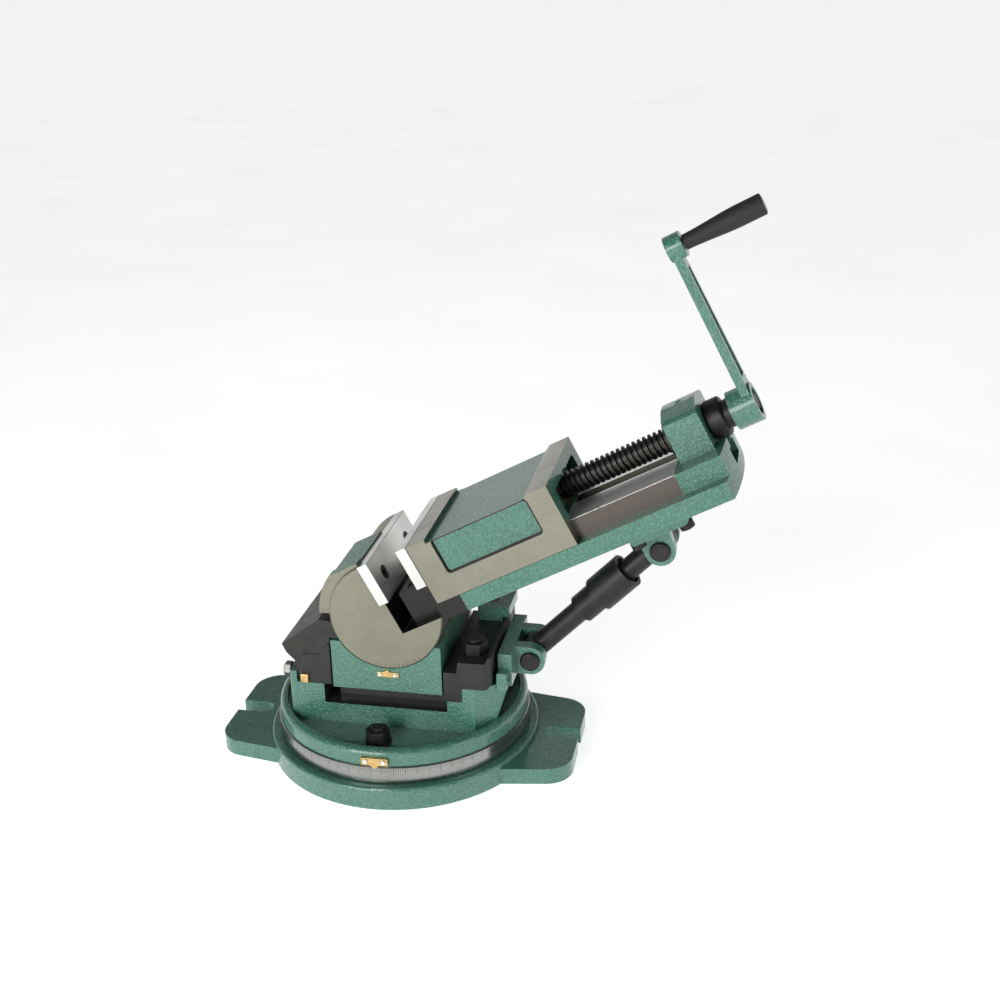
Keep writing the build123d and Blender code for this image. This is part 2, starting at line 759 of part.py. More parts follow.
bolt_place = bracket_half_width - 6
bracket_bolt_u = (bracket_u + 8, bracket_u + bracket_length - 8)
bracket_bolts_at = [(u, y) for u in bracket_bolt_u for y in (-bolt_place, bolt_place)]
clevis_pad_start = 221.0
clevis_pad_end = 280.0
clevis_pad_bottom = -35.0
with BuildPart() as slide_bed:
    with BuildSketch(bed_cross(bed_start)):
        with Locations((0, (bed_bottom + ledge_top) / 2)):
            Rectangle(2 * vise_half_width, ledge_top - bed_bottom)
    extrude(amount=bed_end - bed_start)
    with BuildSketch(bed_cross(rail_start)):
        with BuildLine():
            Polyline(
                (-rail_half_width, gap_floor), (-rail_half_width, rail_top), (rail_half_width, rail_top),
                (rail_half_width, gap_floor), close=True,
            )
        make_face()
    extrude(amount=bed_end - rail_start)
    # rounded end
    with BuildSketch(bed_plan(bed_bottom - 1)):
        with BuildLine():
            ThreePointArc(
                (bed_end - bed_end_sag, -vise_half_width), (bed_end, 0), (bed_end - bed_end_sag, vise_half_width)
            )
            Polyline(
                (bed_end - bed_end_sag, vise_half_width), (bed_end - bed_end_sag, vise_half_width + 1),
                (bed_end + 1, vise_half_width + 1), (bed_end + 1, -vise_half_width - 1),
                (bed_end - bed_end_sag, -vise_half_width - 1), (bed_end - bed_end_sag, -vise_half_width),
            )
        make_face()
    extrude(amount=rail_top - bed_bottom + 2, mode=Mode.SUBTRACT)
    with BuildSketch(bed_cross(rail_start - 1)):
        with Locations((0, (slot_neck_bottom + rail_top + 1) / 2)):
            Rectangle(2 * slot_neck, rail_top + 1 - slot_neck_bottom + 0.02)
        with Locations((0, (slot_neck_bottom + slot_tee_bottom) / 2)):
            Rectangle(2 * slot_tee, slot_neck_bottom - slot_tee_bottom)
    extrude(amount=bed_end - rail_start + 2, mode=Mode.SUBTRACT)
    with BuildSketch(bed_cross(collar_u)):
        with Locations((0, screw_v)):
            Circle(collar_radius + collar_room)
    extrude(amount=bed_end, mode=Mode.SUBTRACT)
    with BuildSketch(bed_plan(bed_bottom)):
        with Locations((142, 0)):
            RectangleRounded(140, 100, 8)
    extrude(amount=4, mode=Mode.SUBTRACT)
    with BuildSketch(bed_plan(rail_top)):
        with Locations(*bracket_bolts_at):
            Circle(m6_radius)
        with Locations(*drum_screw_at):
            Circle(m8_radius)
    extrude(amount=-40, mode=Mode.SUBTRACT)
    with BuildSketch(bed_plan(bed_bottom)):
        with Locations(*bracket_bolts_at):
            Circle(m6_head + head_gap)
    extrude(amount=m6_head_height, mode=Mode.SUBTRACT)
    with BuildSketch(bed_plan(rail_top)):
        with Locations(*drum_screw_at):
            Circle(m8_head + head_gap)
    extrude(amount=-drum_screw_depth, mode=Mode.SUBTRACT)
save(slide_bed, "slide_bed")

with BuildPart() as drum_screws:
    with BuildSketch(bed_plan(rail_top - drum_screw_depth + 8)):
        with Locations(*drum_screw_at):
            Circle(m8_head)
            RegularPolygon(m8_socket, 6, major_radius=False, mode=Mode.SUBTRACT)
    extrude(amount=-4)
    with BuildSketch(bed_plan(rail_top - drum_screw_depth + 4)):
        with Locations(*drum_screw_at):
            Circle(m8_head)
    extrude(amount=-4)
    with BuildSketch(bed_plan(rail_top - drum_screw_depth)):
        with Locations(*drum_screw_at):
            Circle(m8_radius)
    extrude(amount=-37)
save(drum_screws, "drum_screws")

bush_radius = 13.0
with BuildPart() as screw_bracket:
    with BuildSketch(bed_cross(bracket_u)):
        with BuildLine():
            Polyline(
                (-bracket_half_width, rail_top),
                (-bracket_half_width, bracket_shoulder - 3),
                (-bracket_half_width + 3, bracket_shoulder),
                (-8, bracket_top),
                (8, bracket_top),
                (bracket_half_width - 3, bracket_shoulder),
                (bracket_half_width, bracket_shoulder - 3),
                (bracket_half_width, rail_top),
                close=True,
            )
        make_face()
        with Locations((0, screw_v)):
            Circle(bush_radius, mode=Mode.SUBTRACT)
    extrude(amount=bracket_length)
    with BuildSketch(bed_cross(bracket_u)):
        with BuildLine():
            Polyline(
                (-bracket_half_width - 1, rail_top + 3), (-bracket_half_width + 1, rail_top + 3),
                (-bracket_half_width + 1, rail_top - 1), (-bracket_half_width - 1, rail_top - 1), close=True,
            )
        make_face()
    extrude(amount=bracket_length, mode=Mode.SUBTRACT)
    with BuildSketch(bed_plan(bracket_top)):
        with Locations((bracket_u + bracket_length / 2, 0)):
            Circle(m6_radius)
    extrude(amount=-8, mode=Mode.SUBTRACT)
    with BuildSketch(bed_plan(rail_top)):
        with Locations(*bracket_bolts_at):
            Circle(m6_radius)
    extrude(amount=14, mode=Mode.SUBTRACT)
save(screw_bracket, "screw_bracket")

with BuildPart() as bracket_bolts:
    with BuildSketch(bed_plan(bed_bottom)):
        with Locations(*bracket_bolts_at):
            Circle(m6_head)
            RegularPolygon(2.5, 6, major_radius=False, mode=Mode.SUBTRACT)
    extrude(amount=3)
    with BuildSketch(bed_plan(bed_bottom + 3)):
        with Locations(*bracket_bolts_at):
            Circle(m6_head)
    extrude(amount=m6_head_height - 3)
    with BuildSketch(bed_plan(bed_bottom + m6_head_height)):
        with Locations(*bracket_bolts_at):
            Circle(m6_radius)
    extrude(amount=rail_top - bed_bottom + 6)
save(bracket_bolts, "bracket_bolts")

with BuildPart() as bracket_bush:
    with BuildSketch(bed_cross(bracket_u)):
        with Locations((0, screw_v)):
            Circle(bush_radius)
            Circle(screw_journal + run_gap, mode=Mode.SUBTRACT)
    extrude(amount=bracket_length)
save(bracket_bush, "bracket_bush")

with BuildPart() as oil_screw:
    with BuildSketch(bed_plan(bracket_top - 5)):
        with Locations((bracket_u + bracket_length / 2, 0)):
            Circle(m6_radius)
    extrude(amount=3.6)
save(oil_screw, "oil_screw")

clevis_bolts_at = [(u, y) for u in (clevis_pad_start + 6, clevis_pad_end - 8) for y in (-34, 34)]
with BuildPart() as upper_clevis:
    with BuildSketch(bed_side(-44)):
        with BuildLine():
            Line((clevis_pad_start, bed_bottom), (clevis_pad_end, bed_bottom))
            Line((clevis_pad_end, bed_bottom), (clevis_pad_end - 1, -29))
            RadiusArc((clevis_pad_end - 1, -29), (clevis_pad_end - 8, clevis_pad_bottom), 8)
            Line((clevis_pad_end - 8, clevis_pad_bottom), (clevis_pad_start + 4, clevis_pad_bottom))
            Line((clevis_pad_start + 4, clevis_pad_bottom), (clevis_pad_start, bed_bottom))
        make_face()
    extrude(amount=-88)
    for side in (-1, 1):
        with BuildSketch(bed_side(side * ear_inner)):
            with Locations((upper_pin_u, upper_pin_v)):
                Circle(ear_radius)
            with BuildLine():
                Polyline(
                    (upper_pin_u - 14, clevis_pad_bottom + 1), (upper_pin_u + 17, clevis_pad_bottom + 1),
                    (upper_pin_u + ear_radius * 0.98, upper_pin_v + 2), (upper_pin_u, upper_pin_v - ear_radius + 2),
                    (upper_pin_u - ear_radius * 0.98, upper_pin_v + 2), close=True,
                )
            make_face()
        extrude(amount=-side * (ear_outer - ear_inner))
    with BuildSketch(bed_side(-ear_outer - 1)):
        with Locations((upper_pin_u, upper_pin_v)):
            Circle(strut_pin_radius)
    extrude(amount=-2 * ear_outer - 2, mode=Mode.SUBTRACT)
    with BuildSketch(bed_plan(clevis_pad_bottom - 1)):
        with Locations(*clevis_bolts_at):
            Circle(m8_radius)
    extrude(amount=20, mode=Mode.SUBTRACT)
save(upper_clevis, "upper_clevis")

with BuildPart() as clevis_bolts:
    with BuildSketch(bed_plan(clevis_pad_bottom)):
        with Locations(*clevis_bolts_at):
            Circle(m8_head)
            RegularPolygon(m8_socket, 6, major_radius=False, mode=Mode.SUBTRACT)
    extrude(amount=-6)
    with BuildSketch(bed_plan(clevis_pad_bottom - 2)):
        with Locations(*clevis_bolts_at):
            Circle(m8_radius)
    extrude(amount=bed_bottom - clevis_pad_bottom + 2)
save(clevis_bolts, "clevis_bolts")

with BuildPart() as upper_pin:
    for side in (-1, 1):
        with BuildSketch(bed_side(side * ear_inner)):
            with Locations((upper_pin_u, upper_pin_v)):
                Circle(strut_pin_radius)
        extrude(amount=-side * (ear_outer - ear_inner + 3.5))
    chamfer(upper_pin.edges().filter_by(GeomType.CIRCLE).filter_by(lambda e: abs(e.center().Y) > ear_outer), 1.2)
save(upper_pin, "upper_pin")

# ================================================================ moving jaw
nut_radius = 14.5
nut_length = 30.0
nut_u = jaw_rear - nut_length
with BuildPart() as moving_jaw:
    with BuildSketch(bed_cross(jaw_front)):
        with Locations((0, (jaw_skirt_bottom + jaw_top) / 2)):
            Rectangle(2 * vise_half_width, jaw_top - jaw_skirt_bottom)
    extrude(amount=jaw_length)
    with BuildSketch(bed_cross(jaw_front - 1)):
        with Locations((0, (jaw_skirt_bottom - 1 + rail_top + slide_gap) / 2)):
            Rectangle(2 * (rail_half_width + slide_gap), rail_top + slide_gap - jaw_skirt_bottom + 1)
    extrude(amount=jaw_length + 2, mode=Mode.SUBTRACT)
    # top recess between the ridges, with a ramp at the rear
    with BuildSketch(bed_side(-vise_half_width - 1)):
        with BuildLine():
            Polyline(
                (jaw_front + jaw_ridge_front, jaw_top + 1),
                (jaw_front + jaw_ridge_front, jaw_top - jaw_recess),
                (jaw_rear - jaw_ridge_rear - 8, jaw_top - jaw_recess),
                (jaw_rear - jaw_ridge_rear, jaw_top + 1),
                close=True,
            )
        make_face()
    extrude(amount=-2 * vise_half_width - 2, mode=Mode.SUBTRACT)
    # sunken side panels, open at the top
    for side in (-1, 1):
        with BuildSketch(bed_side(side * (vise_half_width + 1))):
            with Locations(((jaw_front + 24.5 + jaw_rear - 21.5) / 2, 34)):
                RectangleRounded(jaw_length - 46, 40, 3)
        extrude(amount=side * (side_panel + 1), mode=Mode.SUBTRACT)
    # rear hollow around the screw
    with BuildSketch(bed_cross(jaw_rear)):
        with Locations((0, screw_v)):
            RectangleRounded(92, 24, 5)
    extrude(amount=-9, mode=Mode.SUBTRACT)
    with BuildSketch(bed_cross(jaw_rear)):
        with Locations((0, screw_v)):
            Circle(nut_radius)
    extrude(amount=-nut_length, mode=Mode.SUBTRACT)
    with BuildSketch(bed_cross(jaw_front + 6)):
        with Locations((0, screw_v)):
            Circle(screw_radius + 1)
    extrude(amount=jaw_length - 6, mode=Mode.SUBTRACT)
    with BuildSketch(bed_cross(jaw_front)):
        with Locations(*jaw_screw_at):
            Circle(m8_radius)
    extrude(amount=18, mode=Mode.SUBTRACT)
    with BuildSketch(bed_plan(rail_top + slide_gap)):
        with Locations(*keeper_screw_at):
            Circle(m8_radius)
    extrude(amount=keeper_screw_top + 0.6 - rail_top, mode=Mode.SUBTRACT)
save(moving_jaw, "moving_jaw")

with BuildPart() as moving_jaw_plate:
    with BuildSketch(bed_cross(jaw_front)):
        with Locations((0, plate_bottom + plate_height / 2 - 0.6)):
            Rectangle(2 * vise_half_width, plate_height - 1.2)
    extrude(amount=-plate_thickness)
    chamfer(moving_jaw_plate.edges().group_by(Axis.Z)[-1], 0.5)
    with BuildSketch(bed_cross(jaw_front)):
        with Locations(*jaw_screw_at):
            Circle(m8_radius)
    extrude(amount=-plate_thickness, mode=Mode.SUBTRACT)
    with BuildSketch(bed_cross(jaw_front - plate_thickness)):
        with Locations(*jaw_screw_at):
            Circle(m8_head + head_gap)
    extrude(amount=m8_bore_depth, mode=Mode.SUBTRACT)
save(moving_jaw_plate, "moving_jaw_plate")

with BuildPart() as moving_plate_screws:
    with BuildSketch(bed_cross(jaw_front - plate_thickness + m8_bore_depth)):
        with Locations(*jaw_screw_at):
            Circle(m8_head)
    extrude(amount=-m8_head_height)
    with BuildSketch(bed_cross(jaw_front - plate_thickness + m8_bore_depth)):
        with Locations(*jaw_screw_at):
            Circle(m8_radius)
    extrude(amount=20)
    with BuildSketch(bed_cross(jaw_front - plate_thickness + m8_bore_depth - m8_head_height)):
        with Locations(*jaw_screw_at):
            RegularPolygon(m8_socket, 6, major_radius=False)
    extrude(amount=4, mode=Mode.SUBTRACT)
save(moving_plate_screws, "moving_plate_screws")

with BuildPart() as jaw_keeper:
    with BuildSketch(bed_cross(jaw_front + 10)):
        with Locations((0, (rail_top + slide_gap + slot_neck_bottom - slide_gap) / 2 - 0.5)):
            Rectangle(2 * (slot_neck - slide_gap), rail_top - slot_neck_bottom + 2 * slide_gap + 1)
        with Locations((0, (slot_neck_bottom + slot_tee_bottom) / 2 + 1)):
            Rectangle(2 * (slot_tee - open_gap), slot_neck_bottom - slot_tee_bottom - 2 - 2 * slide_gap)
    extrude(amount=jaw_length - 30)
    with BuildSketch(bed_plan(rail_top + slide_gap)):
        with Locations(*keeper_screw_at):
            Circle(m8_radius)
    extrude(amount=-30, mode=Mode.SUBTRACT)
save(jaw_keeper, "jaw_keeper")

with BuildPart() as keeper_screws:
    with BuildSketch(bed_plan(slot_tee_bottom + 3)):
        with Locations(*keeper_screw_at):
            Circle(m8_radius)
    extrude(amount=keeper_screw_top - slot_tee_bottom - 3)
save(keeper_screws, "keeper_screws")

with BuildPart() as screw_nut:
    with BuildSketch(bed_cross(nut_u)):
        with Locations((0, screw_v)):
            Circle(nut_radius)
            Circle(screw_radius + run_gap, mode=Mode.SUBTRACT)
    extrude(amount=nut_length - 9)
save(screw_nut, "screw_nut")

# ================================================================ screw and crank
ring_start = bracket_u - 6.0
collar_length = 15.0
neck_radius = 12.5
thrust_ring_radius = 14.5
with BuildPart() as lead_screw:
    with BuildSketch(bed_cross(screw_start)):
        with Locations((0, screw_v)):
            Circle(screw_radius)
    extrude(amount=ring_start - screw_start)
    with BuildSketch(bed_cross(ring_start)):
        with Locations((0, screw_v)):
            Circle(screw_journal)
    extrude(amount=hub_u + hub_length - cap_depth - ring_start)
save(lead_screw, "lead_screw")

with BuildPart() as thrust_ring:
    with BuildSketch(bed_cross(ring_start)):
        with Locations((0, screw_v)):
            Circle(thrust_ring_radius)
            Circle(screw_journal, mode=Mode.SUBTRACT)
    extrude(amount=bracket_u - open_gap - ring_start)
save(thrust_ring, "thrust_ring")

with BuildPart() as thrust_collar:
    with BuildSketch(bed_cross(collar_u + open_gap)):
        with Locations((0, screw_v)):
            Circle(collar_radius)
            Circle(screw_journal, mode=Mode.SUBTRACT)
    extrude(amount=collar_length)
    collar_rims = thrust_collar.edges().filter_by(GeomType.CIRCLE).filter_by(lambda e: e.radius > collar_radius - 1)
    chamfer(collar_rims, 1.5)
    with BuildSketch(bed_cross(collar_u + collar_length)):
        with Locations((0, screw_v)):
            Circle(neck_radius)
            Circle(screw_journal, mode=Mode.SUBTRACT)
    extrude(amount=hub_u - collar_u - collar_length)
save(thrust_collar, "thrust_collar")

arm_u = boss_u + 2
arm_end_u = hub_u + hub_length - 1.5
with BuildPart() as crank_handle:
    with BuildSketch(bed_cross(hub_u)):
        with Locations((0, screw_v)):
            Circle(hub_radius)
    extrude(amount=hub_length)
    with BuildSketch(bed_cross(boss_u)):
        with Locations((0, boss_v)):
            Circle(boss_radius)
    extrude(amount=boss_length)
    with BuildSketch(bed_cross(arm_u)):
        with BuildLine():
            Polyline(
                (-arm_half_width_hub, screw_v + 6), (-arm_half_width_boss, boss_v),
                (arm_half_width_boss, boss_v), (arm_half_width_hub, screw_v + 6), close=True,
            )
        make_face()
    extrude(amount=arm_end_u - arm_u)
    # sunken web on both faces of the arm
    for plane_u, step in ((arm_end_u, -web_depth), (arm_u, web_depth)):
        with BuildSketch(bed_cross(plane_u)):
            with BuildLine():
                Polyline(
                    (web_edge - arm_half_width_hub + 0.5, screw_v + hub_radius + 8),
                    (web_edge - arm_half_width_boss - 1, boss_v - boss_radius - 8),
                    (arm_half_width_boss - web_edge + 1, boss_v - boss_radius - 8),
                    (arm_half_width_hub - web_edge - 0.5, screw_v + hub_radius + 8), close=True,
                )
            make_face()
        extrude(amount=step, mode=Mode.SUBTRACT)
    with BuildSketch(bed_cross(hub_u)):
        with Locations((0, screw_v)):
            Circle(screw_journal)
    extrude(amount=hub_length - cap_depth, mode=Mode.SUBTRACT)
    with BuildSketch(bed_cross(hub_u + hub_length)):
        with Locations((0, screw_v)):
            Circle(cap_radius)
    extrude(amount=-cap_depth, mode=Mode.SUBTRACT)
    with BuildSketch(bed_cross(boss_u)):
        with Locations((0, boss_v)):
            Circle(spindle_radius)
    extrude(amount=boss_length, mode=Mode.SUBTRACT)
save(crank_handle, "crank_handle")

with BuildPart() as crank_screw:
    with BuildSketch(bed_cross(hub_u + hub_length - cap_depth)):
        with Locations((0, screw_v)):
            Circle(cap_radius - 2)
    extrude(amount=2)
    with BuildSketch(bed_cross(hub_u + hub_length - cap_depth + 2)):
        with Locations((0, screw_v)):
            RegularPolygon(6.5, 6, major_radius=False)
    extrude(amount=3.5)
save(crank_screw, "crank_screw")

spindle_head_radius = 6.5
spindle_head = grip_start + grip_length - 3
with BuildPart() as grip_spindle:
    with BuildSketch(bed_cross(boss_u)):
        with Locations((0, boss_v)):
            Circle(spindle_radius)
    extrude(amount=spindle_head - boss_u)
    with BuildSketch(bed_cross(spindle_head)):
        with Locations((0, boss_v)):
            Circle(spindle_head_radius)
    extrude(amount=2.6)
save(grip_spindle, "grip_spindle")

grip_bore = boss_v + spindle_radius + run_gap
grip_recess = boss_v + spindle_head_radius + open_gap
grip_end = grip_start + grip_length
grip_root = boss_v + grip_root_radius
grip_swell = boss_v + grip_swell_radius
grip_tip = grip_swell - 1.2
with BuildPart() as crank_grip:
    with BuildSketch(bed_side(0)):
        with BuildLine():
            Line((grip_start, grip_bore), (grip_start, grip_root))
            Spline(
                (grip_start, grip_root), (grip_start + 14, grip_root + 0.7),
                (grip_start + 36, grip_swell - 0.8), (grip_end - 7, grip_swell), (grip_end, grip_tip),
            )
            Line((grip_end, grip_tip), (grip_end, grip_recess))
            Line((grip_end, grip_recess), (spindle_head - open_gap, grip_recess))
            Line((spindle_head - open_gap, grip_recess), (spindle_head - open_gap, grip_bore))
            Line((spindle_head - open_gap, grip_bore), (grip_start, grip_bore))
        make_face()
    revolve(axis=Axis(at(0, 0, boss_v), u_dir))
save(crank_grip, "crank_grip")

# ================================================================ strut
lower_centre = Vector(lower_pin_x, 0, lower_pin_z)
upper_centre = at(upper_pin_u, 0, upper_pin_v)
strut_line = upper_centre - lower_centre
strut_length = strut_line.length
strut_dir = strut_line.normalized()


def strut_cross(distance):
    """Sketch plane square to the strut, at a distance from the lower pin."""
    return Plane(origin=lower_centre + strut_dir * distance, x_dir=(0, 1, 0), z_dir=strut_dir)


def strut_side(y):
    """Sketch plane along the strut, x from the lower pin to the upper one."""
    return Plane(origin=lower_centre + Vector(0, y, 0), x_dir=strut_dir, z_dir=(0, -1, 0))


sleeve_end = sleeve_start + sleeve_length
sleeve_step = sleeve_start + 22
mouth_depth = 3.0
tail_gap = 0.3
tail_length = 43.0
tail_bore_start = 22.0
eye_step = 1.0
with BuildPart() as strut_lower_rod:
    with BuildSketch(strut_side(-eye_half_width)):
        Circle(eye_radius)
    extrude(amount=-2 * eye_half_width)
    with BuildSketch(strut_cross(2)):
        Circle(strut_rod_radius)
    extrude(amount=lower_rod_length - 2)
    with BuildSketch(strut_side(-eye_half_width)):
        Circle(strut_pin_radius + run_gap)
    extrude(amount=-2 * eye_half_width, mode=Mode.SUBTRACT)
    with BuildSketch(strut_cross(tail_bore_start)):
        Circle(tail_radius + tail_gap)
    extrude(amount=lower_rod_length - tail_bore_start, mode=Mode.SUBTRACT)
save(strut_lower_rod, "strut_lower_rod")

with BuildPart() as strut_upper_rod:
    with BuildSketch(strut_side(-eye_half_width)):
        with Locations((strut_length, 0)):
            Circle(eye_radius)
    extrude(amount=-2 * eye_half_width)
    with BuildSketch(strut_cross(strut_length - 2)):
        Circle(strut_rod_radius)
    extrude(amount=-upper_rod_length + 2)
    with BuildSketch(strut_cross(strut_length - upper_rod_length)):
        Circle(tail_radius)
    extrude(amount=-tail_length)
    with BuildSketch(strut_side(-eye_half_width)):
        with Locations((strut_length, 0)):
            Circle(strut_pin_radius - eye_step)
    extrude(amount=-2 * eye_half_width, mode=Mode.SUBTRACT)
save(strut_upper_rod, "strut_upper_rod")

with BuildPart() as strut_sleeve:
    with BuildSketch(strut_cross(sleeve_start)):
        Circle(sleeve_radius_low)
    extrude(amount=sleeve_step - sleeve_start)
    with BuildSketch(strut_cross(sleeve_step)):
        Circle(sleeve_radius_high)
    extrude(amount=sleeve_end - sleeve_step)
    with BuildSketch(strut_cross(sleeve_start)):
        Circle(strut_rod_radius + run_gap)
    extrude(amount=sleeve_length, mode=Mode.SUBTRACT)
    with BuildSketch(strut_cross(sleeve_end)):
        Circle(strut_rod_radius + 3)
    extrude(amount=-mouth_depth, mode=Mode.SUBTRACT)
    with BuildSketch(strut_cross(sleeve_end)):
        for spot in PolarLocations(0, 2):
            with Locations(spot):
                Rectangle(2 * sleeve_radius_high + 2, 8)
    extrude(amount=-7, mode=Mode.SUBTRACT)
save(strut_sleeve, "strut_sleeve")

print("strut length", round(strut_length, 2), "upper pin", upper_centre)
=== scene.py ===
"""Looks of the tilting and swivelling machine vise: a Blender add-on that is run as a script.

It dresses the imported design: the castings get their rounded edges and hammered paint, the machined
faces their grinding marks and graduations, the lead screw its real thread, and the crank a turned
grip. Everything is in metres.
"""
import json
import math

import bpy
from mathutils import Matrix, Vector


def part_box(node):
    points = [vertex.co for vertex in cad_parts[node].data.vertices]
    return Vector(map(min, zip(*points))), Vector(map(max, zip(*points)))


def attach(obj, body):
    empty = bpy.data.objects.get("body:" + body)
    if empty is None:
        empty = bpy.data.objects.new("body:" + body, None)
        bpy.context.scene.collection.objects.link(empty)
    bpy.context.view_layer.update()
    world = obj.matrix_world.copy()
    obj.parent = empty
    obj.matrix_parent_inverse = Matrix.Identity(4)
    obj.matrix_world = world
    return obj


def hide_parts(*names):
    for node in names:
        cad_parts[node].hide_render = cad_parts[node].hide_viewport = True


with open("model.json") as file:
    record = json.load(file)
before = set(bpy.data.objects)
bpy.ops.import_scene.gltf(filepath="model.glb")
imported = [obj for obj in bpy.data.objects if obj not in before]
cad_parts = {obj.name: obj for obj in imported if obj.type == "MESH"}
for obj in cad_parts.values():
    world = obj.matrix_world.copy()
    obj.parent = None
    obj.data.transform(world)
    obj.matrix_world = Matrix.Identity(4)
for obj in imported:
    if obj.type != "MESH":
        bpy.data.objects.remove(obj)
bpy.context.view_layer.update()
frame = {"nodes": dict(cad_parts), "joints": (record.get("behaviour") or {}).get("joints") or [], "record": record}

bl_info = {
    "name": "Tilting machine vise",
    "version": (1, 0, 0),
    "blender": (4, 5, 0),
    "location": "View3D > Sidebar > Vise",
    "description": "Dresses the packed machine vise with paint, ground faces, threads and a studio",
    "category": "Object",
}

MM = 0.001
JOINTS = {joint["name"]: joint for joint in frame["joints"]}
BODY_OF = {
    node: body
    for body, nodes in frame["record"]["behaviour"]["bodies"].items()
    for node in nodes
}
SLOT_OF = {part["node"]: part["material_slot"] for part in frame["record"]["subparts"]}

# the bed's directions: along the guides, and square to them
PIVOT = Vector(JOINTS["tilt"]["pos_m"])
ALONG = Vector(JOINTS["screw_spin"]["axis"]).normalized()
UP = Vector((-ALONG.z, 0, ALONG.x))
DEPTH = Vector((0, 1, 0))
BED_LINES = (ALONG, DEPTH, UP)
CROSS_LINES = (DEPTH, ALONG, UP)
LEVEL = ((1, 0, 0), (0, 1, 0), (0, 0, 1))

# where one finish or painted shade ends and the next begins, in the bed's directions from the drum's axis
NOTCH_SHADE_END = 73 * MM        # the bed is painted black up to here, as painted shade in the drum's notch
RAIL_LEDGE = -7.8 * MM      # the guides stand over this ledge
RAIL_END = 285.5 * MM       # and run up to the end block
RAIL_SIDE = 49.8 * MM       # half the width over the guides
JAW_FOOT = 12 * MM          # the moving jaw is machined under this level
DRUM_SKIN = 51.7 * MM       # what lies outside this radius is the block behind the jaw
BLOCK_FRONT = -59.2 * MM    # the block's ground front face
TICK_INNER = 46.2 * MM      # inner end of the drum's graduation
TICK_FACE = -62.1 * MM      # the drum's front face, which carries it
TICK_START = math.radians(-133)
TICK_END = math.radians(-77)
DRUM_NOTCH_SHADE = (6.8 * MM, -20.7 * MM)              # painted shade in the step between drum and bed starts here
RECESS_HALF = (57.2 * MM, 61.8 * MM)        # half sizes of the saddle's recess, whose floor gets painted shade

# graduation of the base's band, from its top edge, and the painted shade of the groove at its foot
SHORT_MARK = 4.6 * MM
LONG_MARK = 7.2 * MM
BAND_GROOVE_SHADE = 1.2 * MM

# panel sunk into each side of the moving jaw
PANEL_FRONT = 24.5 * MM
PANEL_REAR = 21.5 * MM
PANEL_BOTTOM = 14 * MM
PANEL_TOP = 3.5 * MM
PANEL_CORNER = 3 * MM
# width of the painted shade line round the panel
PANEL_SHADE_LINE = 1.1 * MM

WEAR_WIDTH = 1.2 * MM
# colour of the rail sides: painted shade, darker than the ground tops
RAIL_SIDE_SHADE = (0.095, 0.082, 0.070)
DULL_STEEL = (0.20, 0.195, 0.185)
BRONZE = (0.50, 0.31, 0.15)

FLOOR_LEVEL = -0.2 * MM
SKY_BAND = (0.14, 0.42)         # the sky fades to the ceiling between these heights
CAMERA_SHIFT = (0.0020, -0.0098)
# name, place from the target, size, share of the key power
SOFTBOXES = (
    ("front_softbox", (-0.7, -1.75, 0.42), 1.0, 1.0),
    ("right_softbox", (1.5, -0.7, 0.6), 0.7, 0.18),
    ("back_softbox", (-0.5, 1.3, 1.2), 1.0, 0.07),
)


# ---------------------------------------------------------------- sizes and colours
class ViseSizes(bpy.types.PropertyGroup):
    """Sizes of what is added to the design."""

    casting_edge: bpy.props.FloatProperty(
        name="Casting edge", description="Rounding of a painted casting's edges",
        default=1.3 * MM, min=0, unit="LENGTH",
    )
    machined_edge: bpy.props.FloatProperty(
        name="Machined edge", description="Broken edge of a ground or turned part",
        default=0.45 * MM, min=0, unit="LENGTH",
    )
    thread_pitch: bpy.props.FloatProperty(
        name="Thread pitch", description="Pitch of the lead screw's trapezoidal thread",
        default=5.0 * MM, min=0.001, unit="LENGTH",
    )
    thread_depth: bpy.props.FloatProperty(
        name="Thread depth", description="Height of the lead screw's thread",
        default=2.6 * MM, min=0, unit="LENGTH",
    )
    fleck: bpy.props.FloatProperty(
        name="Paint fleck", description="Width of one fleck of the hammered paint",
        default=2.3 * MM, min=0.0005, unit="LENGTH",
    )


class ViseColours(bpy.types.PropertyGroup):
    """Colours of the finishes, in linear light."""

    paint_light: bpy.props.FloatVectorProperty(
        name="Paint, light", description="Colour on the crown of a fleck",
        default=(0.072, 0.222, 0.160), size=3, subtype="COLOR", min=0, max=1,
    )
    paint_dark: bpy.props.FloatVectorProperty(
        name="Paint, dark", description="Colour between the flecks",
        default=(0.040, 0.145, 0.104), size=3, subtype="COLOR", min=0, max=1,
    )
    ground: bpy.props.FloatVectorProperty(
        name="Ground iron", description="Colour of ground cast iron",
        default=(0.242, 0.236, 0.184), size=3, subtype="COLOR", min=0, max=1,
    )
    hardened: bpy.props.FloatVectorProperty(
        name="Hardened steel", description="Colour of the jaw plates",
        default=(0.74, 0.75, 0.72), size=3, subtype="COLOR", min=0, max=1,
    )
    dark_iron: bpy.props.FloatVectorProperty(
        name="Dark iron", description="Colour of the clamps",
        default=(0.020, 0.0205, 0.0175), size=3, subtype="COLOR", min=0, max=1,
    )
    # also the colour of the painted shade in the recess, the notches, the band's groove and the panel outlines
    black: bpy.props.FloatVectorProperty(
        name="Blackened steel", description="Colour of screws and rods",
        default=(0.019, 0.018, 0.016), size=3, subtype="COLOR", min=0, max=1,
    )
    brass: bpy.props.FloatVectorProperty(
        name="Brass", description="Colour of the pointers",
        default=(0.72, 0.49, 0.20), size=3, subtype="COLOR", min=0, max=1,
    )
    grip: bpy.props.FloatVectorProperty(
        name="Grip", description="Colour of the crank's grip",
        default=(0.010, 0.009, 0.008), size=3, subtype="COLOR", min=0, max=1,
    )


